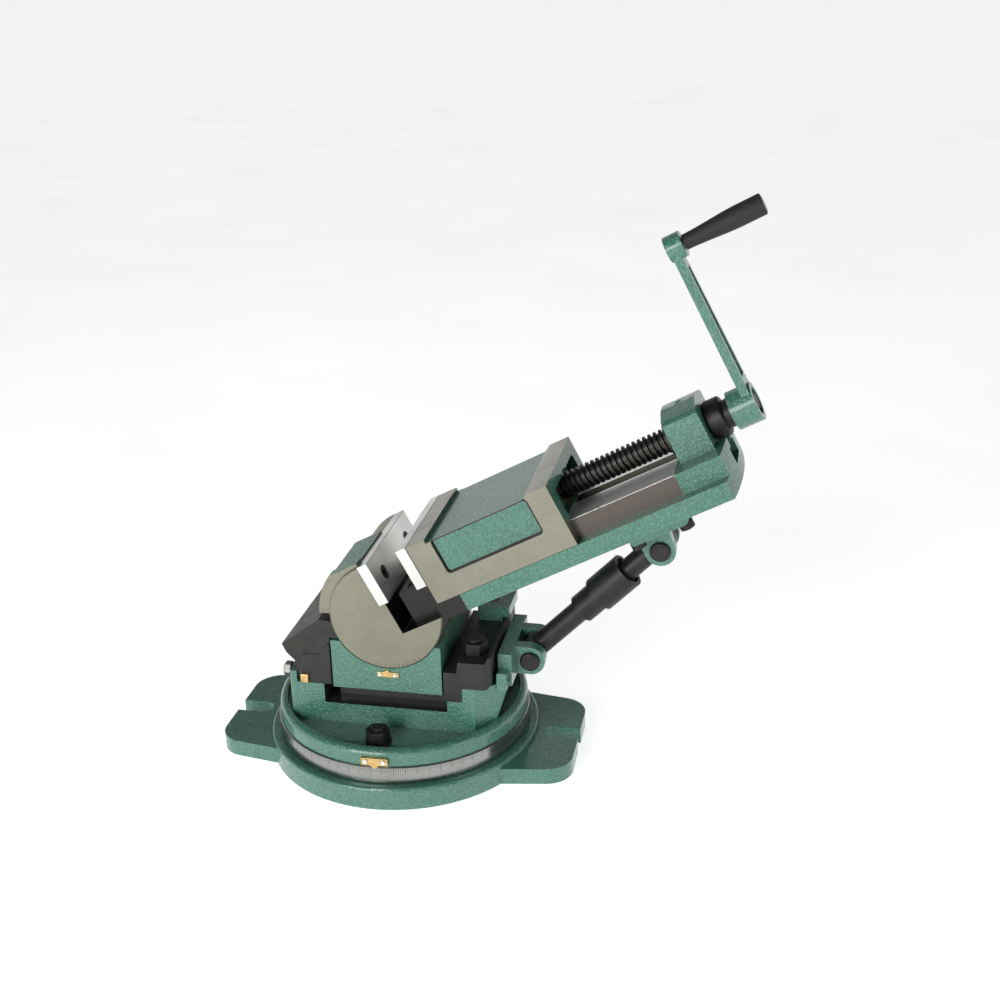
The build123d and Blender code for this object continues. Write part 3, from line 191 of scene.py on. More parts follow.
class ViseStage(bpy.types.PropertyGroup):
    """Camera and lights."""

    azimuth: bpy.props.FloatProperty(
        name="Azimuth", description="Camera's angle round the vise",
        default=math.radians(11.92), subtype="ANGLE",
    )
    elevation: bpy.props.FloatProperty(
        name="Elevation", description="Camera's angle over the horizon",
        default=math.radians(21.52), subtype="ANGLE",
    )
    roll: bpy.props.FloatProperty(
        name="Roll", description="Camera's turn about its own line of sight",
        default=math.radians(-1.42), subtype="ANGLE",
    )
    distance: bpy.props.FloatProperty(
        name="Distance", description="Camera's distance from the point that it looks at",
        default=1.194, min=0.1, unit="LENGTH",
    )
    target: bpy.props.FloatVectorProperty(
        name="Target", description="Point that the camera looks at",
        default=(0.0952, 0.0, 0.2564), size=3, subtype="TRANSLATION",
    )
    lens: bpy.props.FloatProperty(
        name="Lens", description="Focal length in millimetres", default=48.88, min=10,
    )
    glow: bpy.props.FloatProperty(
        name="Glow", description="Light that shines through the floor's paper", default=0.86, min=0,
    )
    key_power: bpy.props.FloatProperty(
        name="Key light", description="Power of the large front light in watts", default=24.0, min=0,
    )
    sky: bpy.props.FloatProperty(
        name="Surroundings", description="Strength of the white surroundings", default=0.9, min=0,
    )
    ceiling: bpy.props.FloatProperty(
        name="Ceiling", description="Strength of the surroundings straight above", default=0.06, min=0,
    )


# ---------------------------------------------------------------- shader building
class Shader:
    """A node material in the making. Its patterns are laid out in object coordinates."""

    def __init__(self, name):
        self.material = bpy.data.materials.new(name)
        self.material.use_nodes = True
        self.nodes = self.material.node_tree.nodes
        self.links = self.material.node_tree.links
        self.surface = self.nodes["Principled BSDF"]
        self.place = self.nodes.new("ShaderNodeTexCoord").outputs["Object"]

    def feed(self, socket, value):
        if isinstance(value, bpy.types.NodeSocket):
            self.links.new(value, socket)
        else:
            socket.default_value = value

    def math(self, operation, *values):
        node = self.nodes.new("ShaderNodeMath")
        node.operation = operation
        for socket, value in zip(node.inputs, values):
            self.feed(socket, value)
        return node.outputs[0]

    def along(self, direction, origin=(0, 0, 0)):
        """Distance of the surface point from origin, measured along direction."""
        node = self.nodes.new("ShaderNodeVectorMath")
        node.operation = "DOT_PRODUCT"
        self.links.new(self.place, node.inputs[0])
        node.inputs[1].default_value = direction
        return self.math("SUBTRACT", node.outputs["Value"], Vector(origin).dot(Vector(direction)))

    def over(self, value, limit, soft=0.0001):
        """1 where value is over limit, 0 where it is under."""
        node = self.nodes.new("ShaderNodeMapRange")
        self.feed(node.inputs["Value"], value)
        node.inputs["From Min"].default_value = limit - soft
        node.inputs["From Max"].default_value = limit + soft
        return node.outputs["Result"]

    def under(self, value, limit, soft=0.0001):
        return self.math("SUBTRACT", 1.0, self.over(value, limit, soft))

    def all_of(self, *masks):
        result = masks[0]
        for mask in masks[1:]:
            result = self.math("MULTIPLY", result, mask)
        return result

    def any_of(self, *masks):
        result = masks[0]
        for mask in masks[1:]:
            result = self.math("MAXIMUM", result, mask)
        return result

    def frame_place(self, x_dir, y_dir, z_dir, stretch=(1, 1, 1)):
        """Object coordinates in turned directions, each stretched by its factor."""
        node = self.nodes.new("ShaderNodeCombineXYZ")
        for socket, direction, factor in zip(node.inputs, (x_dir, y_dir, z_dir), stretch):
            self.links.new(self.math("MULTIPLY", self.along(direction), factor), socket)
        return node.outputs[0]

    def noise(self, scale, detail=3.0, roughness=0.55, place=None):
        node = self.nodes.new("ShaderNodeTexNoise")
        self.links.new(place or self.place, node.inputs["Vector"])
        node.inputs["Scale"].default_value = scale
        node.inputs["Detail"].default_value = detail
        node.inputs["Roughness"].default_value = roughness
        return node.outputs["Fac"]

    def cells(self, scale, place):
        """Rounded cells, as the flecks of hammered paint: 0 at the middle of each."""
        node = self.nodes.new("ShaderNodeTexVoronoi")
        node.feature = "SMOOTH_F1"
        self.links.new(place, node.inputs["Vector"])
        node.inputs["Scale"].default_value = scale
        node.inputs["Smoothness"].default_value = 0.6
        return node.outputs["Distance"]

    def ramp(self, value, low, high, to_low=0.0, to_high=1.0):
        node = self.nodes.new("ShaderNodeMapRange")
        self.feed(node.inputs["Value"], value)
        node.inputs["From Min"].default_value = low
        node.inputs["From Max"].default_value = high
        node.inputs["To Min"].default_value = to_low
        node.inputs["To Max"].default_value = to_high
        return node.outputs["Result"]

    def blend(self, factor, first, second):
        """Mix of two colours or of two numbers."""
        node = self.nodes.new("ShaderNodeMix")
        number = not isinstance(first, (tuple, list)) and (
            isinstance(first, (int, float)) or first.type == "VALUE"
        )
        node.data_type = "FLOAT" if number else "RGBA"
        first_socket, second_socket, output = (2, 3, 0) if number else (6, 7, 2)
        self.feed(node.inputs[0], factor)
        self.feed(node.inputs[first_socket], first)
        self.feed(node.inputs[second_socket], second)
        return node.outputs[output]

    def bump(self, height, distance, strength=1.0, under=None):
        node = self.nodes.new("ShaderNodeBump")
        node.inputs["Strength"].default_value = strength
        node.inputs["Distance"].default_value = distance
        self.links.new(height, node.inputs["Height"])
        if under is not None:
            self.links.new(under, node.inputs["Normal"])
        return node.outputs["Normal"]

    def edge_wear(self):
        """1 on worn outer edges: where the rounded normal leaves the true one."""
        bevel = self.nodes.new("ShaderNodeBevel")
        bevel.samples = 4
        bevel.inputs["Radius"].default_value = WEAR_WIDTH
        geometry = self.nodes.new("ShaderNodeNewGeometry")
        dot = self.nodes.new("ShaderNodeVectorMath")
        dot.operation = "DOT_PRODUCT"
        self.links.new(bevel.outputs["Normal"], dot.inputs[0])
        self.links.new(geometry.outputs["Normal"], dot.inputs[1])
        return self.ramp(dot.outputs["Value"], 0.97, 0.80)

    def finish(self, colour, roughness, metallic, normal=None, coat=0.0, specular=0.5):
        surface = self.surface
        self.feed(surface.inputs["Base Color"], colour)
        self.feed(surface.inputs["Roughness"], roughness)
        self.feed(surface.inputs["Metallic"], metallic)
        surface.inputs["Coat Weight"].default_value = coat
        surface.inputs["Coat Roughness"].default_value = 0.09
        surface.inputs["Specular IOR Level"].default_value = specular
        if normal is not None:
            self.links.new(normal, surface.inputs["Normal"])
        return self.material


def rgba(colour, factor=1.0):
    return (colour[0] * factor, colour[1] * factor, colour[2] * factor, 1.0)


def paint_layers(shader):
    """Colour, roughness and normal of the hammered paint."""
    sizes, colours = bpy.context.scene.vise_sizes, bpy.context.scene.vise_colours
    swirl = shader.nodes.new("ShaderNodeVectorMath")
    swirl.operation = "MULTIPLY_ADD"
    shade = shader.nodes.new("ShaderNodeTexNoise")
    shader.links.new(shader.place, shade.inputs["Vector"])
    shade.inputs["Scale"].default_value = 0.6 / sizes.fleck
    shader.links.new(shade.outputs["Color"], swirl.inputs[0])
    swirl.inputs[1].default_value = (sizes.fleck * 1.1,) * 3
    shader.links.new(shader.place, swirl.inputs[2])
    flecks = shader.cells(1 / sizes.fleck, swirl.outputs[0])
    crown = shader.ramp(flecks, 0.62, 0.18)
    cloud = shader.ramp(shader.noise(38, 3), 0.35, 0.68)
    tone = shader.blend(crown, rgba(colours.paint_dark), rgba(colours.paint_light))
    colour = shader.blend(shader.math("MULTIPLY", cloud, 0.18), tone, rgba(colours.paint_light, 1.25))
    fine = shader.noise(900, 2)
    roughness = shader.math("ADD", shader.ramp(crown, 0, 1, 0.38, 0.24), shader.math("MULTIPLY", fine, 0.10))
    normal = shader.bump(crown, 0.00055, 0.75, shader.bump(fine, 0.00006, 0.35))
    return colour, roughness, normal


def ground_layers(shader, lines, tint, scratch=1.0, rough=0.34):
    """Colour, roughness and normal of a ground face, with its marks along the first direction of lines."""
    across = shader.frame_place(*lines, stretch=(9, 1500, 1500))
    marks = shader.noise(1.0, 4, 0.6, across)
    stains = shader.ramp(shader.noise(26, 4, 0.6), 0.42, 0.72)
    speckle = shader.ramp(shader.noise(420, 3), 0.52, 0.72)
    colour = shader.blend(stains, rgba(tint), rgba(tint, 0.80))
    colour = shader.blend(shader.math("MULTIPLY", speckle, 0.35 * scratch), colour, rgba(tint, 0.55))
    colour = shader.blend(shader.ramp(marks, 0.35, 0.7, 0, 0.30 * scratch), colour, rgba(tint, 1.2))
    roughness = shader.math(
        "ADD", shader.ramp(marks, 0.3, 0.7, rough - 0.06, rough + 0.10), shader.math("MULTIPLY", stains, 0.06)
    )
    normal = shader.bump(marks, 0.00006, 0.35 * scratch)
    return colour, roughness, normal


def paint_material(name="hammered_green", shade_mask=None):
    """Hammered paint. The mask maker, when given, marks a recess that is coloured near-black as painted shade."""
    shader = Shader(name)
    colour, roughness, normal = paint_layers(shader)
    if shade_mask is not None:
        # painted shade: the masked recess is coloured near-black
        mask = shade_mask(shader)
        colour = shader.blend(mask, colour, rgba(bpy.context.scene.vise_colours.black, 0.5))
        roughness = shader.blend(mask, roughness, 0.7)
    return shader.finish(colour, roughness, 0.0, normal, coat=0.7)


def recess_shade_mask(shader):
    """The saddle's recess floor and the cradle's foot that stands in it, coloured near-black as painted shade."""
    x, y, z = (shader.along(axis) for axis in LEVEL)
    floor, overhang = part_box("cradle_block")[0].z, frame_overhang()
    return shader.all_of(
        shader.under(shader.math("ABSOLUTE", x), RECESS_HALF[0]),
        shader.under(shader.math("ABSOLUTE", y), RECESS_HALF[1]),
        shader.over(z, floor - 0.4 * MM), shader.under(z, overhang - 0.1 * MM),
    )


def frame_overhang():
    """Height of the cradle's overhang: its lowest level at the front."""
    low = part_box("cradle_block")[0]
    points = (vertex.co for vertex in frame["nodes"]["cradle_block"].data.vertices)
    return min(point.z for point in points if point.y < low.y + 0.1 * MM)


def ground_material(name, lines, tint, scratch=1.0, rough=0.34, metal=0.9):
    """A part ground all over."""
    shader = Shader(name)
    colour, roughness, normal = ground_layers(shader, lines, tint, scratch, rough)
    return shader.finish(colour, roughness, metal, normal)


def paint_and_ground(name, ground_mask, lines, tint, trim=None):
    """A casting painted all over but for its machined faces, whose mask is made by ground_mask."""
    shader = Shader(name)
    mask = ground_mask(shader)
    paint = paint_layers(shader)
    ground = ground_layers(shader, lines, tint)
    # the trim paints shade, and on the bed also a reflection, over the machined colour
    machined = ground[0] if trim is None else trim(shader, ground[0])
    colour = shader.blend(mask, paint[0], machined)
    roughness = shader.blend(mask, paint[1], ground[1])
    normal = shader.nodes.new("ShaderNodeMix")
    normal.data_type = "VECTOR"
    shader.links.new(mask, normal.inputs[0])
    shader.links.new(paint[2], normal.inputs[4])
    shader.links.new(ground[2], normal.inputs[5])
    return shader.finish(colour, roughness, shader.math("MULTIPLY", mask, 0.85), normal.outputs[1], coat=0.4)


def bed_mask(shader):
    """The guides: what stands over the ledge, up to the end block, and the bed's start in the drum's notch, which
    gets painted shade.
    """
    u, v = shader.along(ALONG, PIVOT), shader.along(UP, PIVOT)
    rails = shader.all_of(shader.over(v, RAIL_LEDGE), shader.under(u, RAIL_END))
    return shader.any_of(rails, shader.under(u, NOTCH_SHADE_END))


def bed_trim(shader, ground):
    """Painted shade on the rail sides and on the bed's start in the notch, and a painted reflection on the rail
    tops.
    """
    colours = bpy.context.scene.vise_colours
    # painted shade: the rail sides are tinted darker brown
    side = shader.over(shader.math("ABSOLUTE", shader.along(DEPTH)), RAIL_SIDE)
    start = shader.under(shader.along(ALONG, PIVOT), NOTCH_SHADE_END)
    colour = shader.blend(side, ground, rgba(RAIL_SIDE_SHADE))
    # painted reflection: the rail tops are lightened
    top = shader.over(shader.along(UP, PIVOT), bed_extent("slide_bed")[1].z - 0.3 * MM)
    colour = shader.blend(top, colour, rgba(colours.hardened, 1.15))
    # painted shade: the bed's start inside the drum's notch is painted black
    return shader.blend(start, colour, rgba(colours.black))


def panel_shade_outline(shader):
    """The corner all round the sunken side panel, painted dark as the shade in that corner."""
    low, high = bed_extent("moving_jaw")
    u, v = shader.along(ALONG, PIVOT), shader.along(UP, PIVOT)
    left, right = low.x + PANEL_FRONT, high.x - PANEL_REAR
    bottom, top, corner = PANEL_BOTTOM, high.z - PANEL_TOP, PANEL_CORNER
    across = shader.math("SUBTRACT", shader.math("ABSOLUTE", shader.math("SUBTRACT", u, (left + right) / 2)),
                         (right - left) / 2 - corner)
    down = shader.math("SUBTRACT", shader.math("ABSOLUTE", shader.math("SUBTRACT", v, (bottom + top) / 2)),
                       (top - bottom) / 2 - corner)
    outside = shader.math("SQRT", shader.math(
        "ADD", shader.math("POWER", shader.math("MAXIMUM", across, 0.0), 2),
        shader.math("POWER", shader.math("MAXIMUM", down, 0.0), 2),
    ))
    inside = shader.math("MINIMUM", shader.math("MAXIMUM", across, down), 0.0)
    distance = shader.math("ABSOLUTE", shader.math("SUBTRACT", shader.math("ADD", outside, inside), corner))
    return shader.all_of(
        shader.under(distance, PANEL_SHADE_LINE, 0.0003),
        shader.over(shader.math("ABSOLUTE", shader.along(DEPTH)), high.y - 2.5 * MM),
    )


def jaw_trim(shader, ground):
    """Painted shade: a dark outline round the side panels and a dark line in the gap behind the hardened plate."""
    # painted shade in the gap behind the hardened plate
    seam = shader.under(shader.along(ALONG, PIVOT), bed_extent("moving_jaw")[0].x + 0.8 * MM, 0.0003)
    dark = rgba(bpy.context.scene.vise_colours.black)
    return shader.blend(shader.any_of(panel_shade_outline(shader), seam), ground, dark)


def moving_jaw_mask(shader):
    """All faces of the moving jaw but its side panels, its top recess and its rear hollow."""
    low, high = bed_extent("moving_jaw")
    u, v = shader.along(ALONG, PIVOT), shader.along(UP, PIVOT)
    depth = shader.math("ABSOLUTE", shader.along(DEPTH))
    return shader.any_of(
        shader.over(depth, high.y - 0.8 * MM),
        shader.over(v, high.z - 0.6 * MM),
        shader.under(u, low.x + 0.6 * MM),
        shader.under(v, JAW_FOOT),
        # the panel's outline is taken into the mask so that the trim paints it dark as painted shade
        panel_shade_outline(shader),
    )


def drum_mask(shader):
    """The drum and its ends, and the front of the block behind the jaw. The block's back is painted."""
    u, v = shader.along(ALONG, PIVOT), shader.along(UP, PIVOT)
    radius = shader.math("SQRT", shader.math("ADD", shader.math("POWER", u, 2), shader.math("POWER", v, 2)))
    painted = shader.all_of(shader.over(radius, DRUM_SKIN), shader.over(shader.along(DEPTH), BLOCK_FRONT))
    return shader.math("SUBTRACT", 1.0, painted)


def ticks(shader, angle, step, width):
    """1 on thin radial marks, step degrees apart."""
    turns = shader.math("DIVIDE", angle, math.radians(step))
    part = shader.math("ABSOLUTE", shader.math("SUBTRACT", shader.math("FRACT", turns), 0.5))
    return shader.over(part, 0.5 - width / step / 2, 0.02)


def band_material():
    """Polished band with a graduation of whole degrees, longer marks at each five, and painted shade at its foot.
    """
    colours = bpy.context.scene.vise_colours
    low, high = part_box("graduated_ring")
    shader = Shader("polished_band")
    x, y, z = (shader.along(axis) for axis in LEVEL)
    angle = shader.math("ARCTAN2", y, x)
    turned = shader.noise(1.0, 3, 0.6, shader.frame_place(*LEVEL, (5, 5, 420)))
    stains = shader.ramp(shader.noise(30, 4), 0.5, 0.75)
    small = shader.all_of(ticks(shader, angle, 1, 0.16), shader.over(z, high.z - SHORT_MARK))
    large = shader.all_of(ticks(shader, angle, 5, 0.24), shader.over(z, high.z - LONG_MARK))
    marks = shader.math("MULTIPLY", shader.any_of(small, large), 0.75)
    # painted shade: the band's foot is painted black as the groove under it
    groove = shader.under(z, low.z + BAND_GROOVE_SHADE)
    stained = shader.math("MULTIPLY", stains, 0.3)
    colour = shader.blend(stained, rgba(colours.hardened, 0.46), rgba(colours.ground, 0.7))
    colour = shader.blend(marks, colour, rgba(colours.black, 2))
    colour = shader.blend(groove, colour, rgba(colours.black))
    roughness = shader.math(
        "ADD", shader.ramp(turned, 0.3, 0.7, 0.20, 0.30), shader.math("MULTIPLY", marks, 0.3)
    )
    return shader.finish(colour, roughness, 1.0, shader.bump(turned, 0.00002, 0.2))


def drum_material():
    """Ground drum with a tilt graduation on its front rim, paint on the block behind the jaw and painted shade in
    the notch towards the bed.
    """
    colours = bpy.context.scene.vise_colours
    shader = Shader("ground_drum")
    mask = drum_mask(shader)
    u, v = shader.along(ALONG, PIVOT), shader.along(UP, PIVOT)
    depth = shader.along(DEPTH)
    radius = shader.math("SQRT", shader.math("ADD", shader.math("POWER", u, 2), shader.math("POWER", v, 2)))
    angle = shader.math("ARCTAN2", v, u)
    marks = shader.all_of(
        ticks(shader, angle, 5, 0.5),
        shader.over(radius, TICK_INNER),
        shader.under(depth, TICK_FACE),
        shader.over(angle, TICK_START),
        shader.under(angle, TICK_END),
    )
    paint = paint_layers(shader)
    ground = ground_layers(shader, (UP, ALONG, DEPTH), colours.ground, 0.8, 0.38)
    colour = shader.blend(shader.math("MULTIPLY", marks, 0.8), ground[0], rgba(colours.black, 2))
    colour = shader.blend(mask, paint[0], colour)
    # painted shade: the notch towards the bed is painted black
    notch = shader.all_of(shader.over(u, DRUM_NOTCH_SHADE[0]), shader.over(v, DRUM_NOTCH_SHADE[1]))
    colour = shader.blend(notch, colour, rgba(colours.black, 0.8))
    roughness = shader.blend(mask, paint[1], ground[1])
    return shader.finish(colour, roughness, shader.math("MULTIPLY", mask, 0.85), ground[2])


def dark_material(name, tint, rough, grain=700.0, metal=0.55, coat=0.0, wear=True):
    """Blackened or dark iron: a faint mottle, oily variation of gloss and slightly lighter worn edges."""
    shader = Shader(name)
    mottle = shader.ramp(shader.noise(95, 4), 0.35, 0.7)
    fine = shader.noise(grain, 3)
    colour = shader.blend(mottle, rgba(tint), rgba(tint, 1.7))
    if wear:
        worn = shader.math("MULTIPLY", shader.edge_wear(), 0.35)
        colour = shader.blend(worn, colour, rgba(tint, 6))
    roughness = shader.math(
        "ADD", shader.ramp(mottle, 0, 1, rough, rough + 0.12), shader.math("MULTIPLY", fine, 0.10)
    )
    return shader.finish(colour, roughness, metal, shader.bump(fine, 0.00008, 0.35), coat=coat)


def brass_material(name, tint, rough):
    """Turned and slightly tarnished brass or bronze."""
    shader = Shader(name)
    brushed = shader.noise(1.0, 3, 0.6, shader.frame_place(*LEVEL, (40, 900, 900)))
    tarnish = shader.ramp(shader.noise(160, 4), 0.45, 0.75)
    colour = shader.blend(tarnish, rgba(tint), rgba(tint, 0.62))
    roughness = shader.ramp(brushed, 0.3, 0.7, rough - 0.06, rough + 0.08)
    return shader.finish(colour, roughness, 1.0, shader.bump(brushed, 0.00005, 0.3))


def bed_extent(node):
    """Lowest and highest corner of a node in the bed's own directions, from the drum's axis."""
    points = [vertex.co - PIVOT for vertex in frame["nodes"][node].data.vertices]
    places = [(p.dot(ALONG), p.y, p.dot(UP)) for p in points]
    return tuple(Vector(pick(values) for values in zip(*places)) for pick in (min, max))


MATERIALS = {}


def make_materials():
    colours = bpy.context.scene.vise_colours
    MATERIALS.update(
        green_paint=paint_material(),
        polished_steel=band_material(),
        bright_steel=ground_material("turned_steel", BED_LINES, colours.hardened, 0.7, 0.30, 1.0),
        black_oxide=dark_material("blackened_steel", colours.black, 0.34),
        dark_iron=dark_material("dark_iron", colours.dark_iron, 0.40, 520.0, 0.35),
        ground_iron=ground_material("ground_iron", BED_LINES, colours.ground),
        hardened_steel=ground_material("hardened_steel", CROSS_LINES, colours.hardened, 0.6, 0.30, 0.9),
        brass=brass_material("brass", colours.brass, 0.27),
        dull_steel=ground_material("dull_steel", BED_LINES, DULL_STEEL, 0.8, 0.36, 0.9),
        bronze=brass_material("bronze", BRONZE, 0.36),
        black_plastic=dark_material("grip_plastic", colours.grip, 0.58, 900.0, 0.0, 0.0, False),
        bed=paint_and_ground("painted_bed", bed_mask, BED_LINES, colours.ground, bed_trim),
        recessed=paint_material("hammered_green_recessed", recess_shade_mask),
        moving_jaw=paint_and_ground("painted_jaw", moving_jaw_mask, BED_LINES, colours.ground, jaw_trim),
        drum=drum_material(),
    )


# ---------------------------------------------------------------- modelling helpers
def deselect_all():
    if bpy.context.object is not None and bpy.context.object.mode != "OBJECT":
        bpy.ops.object.mode_set(mode="OBJECT")
    bpy.ops.object.select_all(action="DESELECT")


def make_active(piece):
    deselect_all()
    piece.select_set(True)
    bpy.context.view_layer.objects.active = piece


def apply_modifier(piece, kind, **settings):
    make_active(piece)
    modifier = piece.modifiers.new(kind.lower(), kind)
    for key, value in settings.items():
        setattr(modifier, key, value)
    bpy.ops.object.modifier_apply(modifier=modifier.name)


def set_material(piece, material):
    piece.data.materials.clear()
    piece.data.materials.append(material)


def dress(piece, name, material, node):
    """Names a finished piece, gives it its material, hangs it on its node's body and hides the node."""
    piece.name = name
    piece.data.name = name
    set_material(piece, MATERIALS[material])
    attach(piece, BODY_OF[node])
    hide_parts(node)


def copy_of(node):
    """A free copy of a node's mesh, with its loose triangles merged and flat faces made whole."""
    source = frame["nodes"][node]
    make_active(source)
    bpy.ops.object.duplicate()
    piece = bpy.context.object
    piece.parent = None
    for key in [key for key in piece.keys() if key.startswith("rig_")]:
        del piece[key]
    bpy.ops.object.mode_set(mode="EDIT")
    bpy.ops.mesh.select_all(action="SELECT")
    bpy.ops.mesh.remove_doubles(threshold=2e-6)
    bpy.ops.mesh.dissolve_limited(angle_limit=math.radians(0.4))
    bpy.ops.object.mode_set(mode="OBJECT")
    bpy.ops.mesh.customdata_custom_splitnormals_clear()
    return piece


def soften(piece, width):
    """Rounds a piece's edges and keeps its flat faces flat."""
    if width > 0:
        apply_modifier(
            piece, "BEVEL", width=width, segments=2, limit_method="ANGLE",
            angle_limit=math.radians(32), use_clamp_overlap=True, miter_outer="MITER_ARC",
        )
    make_active(piece)
    bpy.ops.object.shade_smooth_by_angle(angle=math.radians(30))
    apply_modifier(piece, "WEIGHTED_NORMAL", keep_sharp=True)


def turned(profile, steps, rise=0.0, turns=1):
    """A profile of (radius, height) turned about the vertical, rising by rise at each turn."""
    deselect_all()
    bpy.ops.mesh.primitive_plane_add(size=1)
    piece = bpy.context.object
    bpy.ops.object.mode_set(mode="EDIT")
    bpy.ops.mesh.select_all(action="SELECT")
    bpy.ops.mesh.merge(type="CENTER")
    bpy.ops.transform.translate(value=(profile[0][0], 0, profile[0][1]))
    for (r0, z0), (r1, z1) in zip(profile, profile[1:]):
        bpy.ops.mesh.extrude_region_move(TRANSFORM_OT_translate={"value": (r1 - r0, 0, z1 - z0)})
    bpy.ops.object.mode_set(mode="OBJECT")
    apply_modifier(
        piece, "SCREW", axis="Z", angle=-math.tau, screw_offset=rise, iterations=turns,
        steps=steps, render_steps=steps, use_merge_vertices=True, merge_threshold=1e-6, use_smooth_shade=True,
    )
    return piece


def lay_along_bed(piece, height):
    """Turns a piece made about the vertical to lie along the bed, height over the drum's axis."""
    place = Matrix((UP, DEPTH, ALONG)).transposed().to_4x4()
    place.translation = PIVOT + UP * height
    piece.data.transform(place)
    if place.determinant() < 0:
        piece.data.flip_normals()


def soft_copy(node, name, material, width):
    """Replaces a node with its own shape, its edges rounded by width."""
    piece = copy_of(node)
    soften(piece, width)
    dress(piece, name, material, node)


# ---------------------------------------------------------------- pieces
class VISE_OT_materials(bpy.types.Operator):
    """Make the finishes"""

    bl_idname = "vise.materials"
    bl_label = "Finishes"

    def execute(self, context):
        make_materials()
        for node, piece in frame["nodes"].items():
            set_material(piece, MATERIALS[SLOT_OF[node]])
        return {"FINISHED"}


class VISE_OT_castings(bpy.types.Operator):
    """Round the painted castings' edges"""

    bl_idname = "vise.castings"
    bl_label = "Painted castings"

    def execute(self, context):
        edge = context.scene.vise_sizes.casting_edge
        for node, name, share in (
            ("base_plate", "base_casting", 1.0),
            ("swivel_body", "turntable_casting", 0.9),
            ("cradle_block", "cradle_casting", 0.5),
            ("screw_bracket", "bracket_casting", 0.7),
            ("upper_clevis", "clevis_casting", 0.7),
            ("crank_handle", "crank_casting", 0.9),
            ("rest_block", "rest_block_casting", 0.3),
        ):
            # the swivel body and the cradle get the recess's painted shade
            recessed = node in ("swivel_body", "cradle_block")
            soft_copy(node, name, "recessed" if recessed else "green_paint", edge * share)
        soft_copy("slide_bed", "bed_casting", "bed", edge * 0.5)
        return {"FINISHED"}


class VISE_OT_jaws(bpy.types.Operator):
    """Finish the drum, the jaws and their plates"""

    bl_idname = "vise.jaws"
    bl_label = "Drum and jaws"

    def execute(self, context):
        edge = context.scene.vise_sizes.machined_edge
        soft_copy("fixed_jaw", "drum_and_fixed_jaw", "drum", edge)
        soft_copy("moving_jaw", "moving_jaw_casting", "moving_jaw", edge * 1.6)
        soft_copy("fixed_jaw_plate", "fixed_plate", "hardened_steel", edge)
        soft_copy("moving_jaw_plate", "moving_plate", "hardened_steel", edge)
        return {"FINISHED"}


class VISE_OT_base_band(bpy.types.Operator):
    """Finish the graduated band"""

    bl_idname = "vise.base_band"
    bl_label = "Graduated band"

    def execute(self, context):
        soft_copy("graduated_ring", "graduated_band", "polished_steel", 0)
        return {"FINISHED"}


class VISE_OT_clamps(bpy.types.Operator):
    """Finish the dark clamps"""

    bl_idname = "vise.clamps"
    bl_label = "Clamps"

    def execute(self, context):
        edge = context.scene.vise_sizes.machined_edge
        for node in ("left_clamp", "right_clamp"):
            soft_copy(node, node + "_bar", "dark_iron", edge * 2)
        return {"FINISHED"}


class VISE_OT_fasteners(bpy.types.Operator):
    """Finish bolts, nuts, pins, rings and pointers"""

    bl_idname = "vise.fasteners"
    bl_label = "Fasteners and pointers"

    def execute(self, context):
        edge = context.scene.vise_sizes.machined_edge
        for node in (
            "swivel_nuts", "swivel_washers", "clamp_nuts", "clamp_studs", "clevis_bolts", "lower_pin",
            "upper_pin", "thrust_ring", "thrust_collar", "crank_screw", "oil_screw", "strut_lower_rod",
            "strut_upper_rod", "strut_sleeve", "push_bolts", "brass_plug", "tilt_pointer",
            "tilt_pointer_screws", "swivel_pointer", "swivel_pointer_screws", "fixed_plate_screws",
            "moving_plate_screws", "grip_spindle",
        ):
            width = 0 if node == "tilt_pointer_screws" else edge * 0.8
            special = {
                "push_bolts": "dull_steel", "tilt_pointer_screws": "hardened_steel",
                "swivel_pointer_screws": "hardened_steel", "grip_spindle": "dull_steel",
            }
            soft_copy(node, node + "_piece", special.get(node, SLOT_OF[node]), width)
        return {"FINISHED"}


class VISE_OT_lead_screw(bpy.types.Operator):
    """Cut the lead screw's trapezoidal thread"""

    bl_idname = "vise.lead_screw"
    bl_label = "Lead screw"

    def execute(self, context):
        sizes = context.scene.vise_sizes
        low, high = bed_extent("lead_screw")
        radius = high.y
        # the thread runs out a little before the bracket's bush
        journal = bed_extent("bracket_bush")[0].x - 6 * MM
        root = radius - sizes.thread_depth
        pitch = sizes.thread_pitch
        turns = math.ceil((journal - low.x) / pitch) + 1
        profile = (
            (root, 0.0), (root, 0.20), (radius, 0.37), (radius, 0.70), (root, 0.87), (root, 1.0),
        )
        screw = turned([(r, z * pitch) for r, z in profile], 40, pitch, turns)
        # trim both ends flat and close them
        make_active(screw)
        bpy.ops.object.mode_set(mode="EDIT")
        for height, normal in ((pitch, (0, 0, -1)), (pitch + journal - low.x, (0, 0, 1))):
            bpy.ops.mesh.select_all(action="SELECT")
            bpy.ops.mesh.bisect(
                plane_co=(0, 0, height), plane_no=normal, use_fill=True, clear_outer=True, clear_inner=False,
            )
        bpy.ops.mesh.select_all(action="SELECT")
        bpy.ops.mesh.normals_make_consistent(inside=False)
        bpy.ops.transform.translate(value=(0, 0, low.x - pitch))
        bpy.ops.object.mode_set(mode="OBJECT")
        bpy.ops.object.shade_smooth_by_angle(angle=math.radians(35))
        # plain journal through the bracket, up to the crank
        journal_radius = 9.0 * MM
        bpy.ops.mesh.primitive_cylinder_add(
            vertices=64, radius=journal_radius, depth=high.x - journal,
            location=(0, 0, (high.x + journal) / 2),
        )
        shaft = context.object
        soften(shaft, sizes.machined_edge)
        shaft.data.transform(shaft.matrix_world)
        shaft.matrix_world = Matrix.Identity(4)
        deselect_all()
        shaft.select_set(True)
        screw.select_set(True)
        context.view_layer.objects.active = screw
        bpy.ops.object.join()
        lay_along_bed(screw, (Vector(JOINTS["screw_spin"]["pos_m"]) - PIVOT).dot(UP))
        dress(screw, "threaded_lead_screw", "black_oxide", "lead_screw")
        return {"FINISHED"}


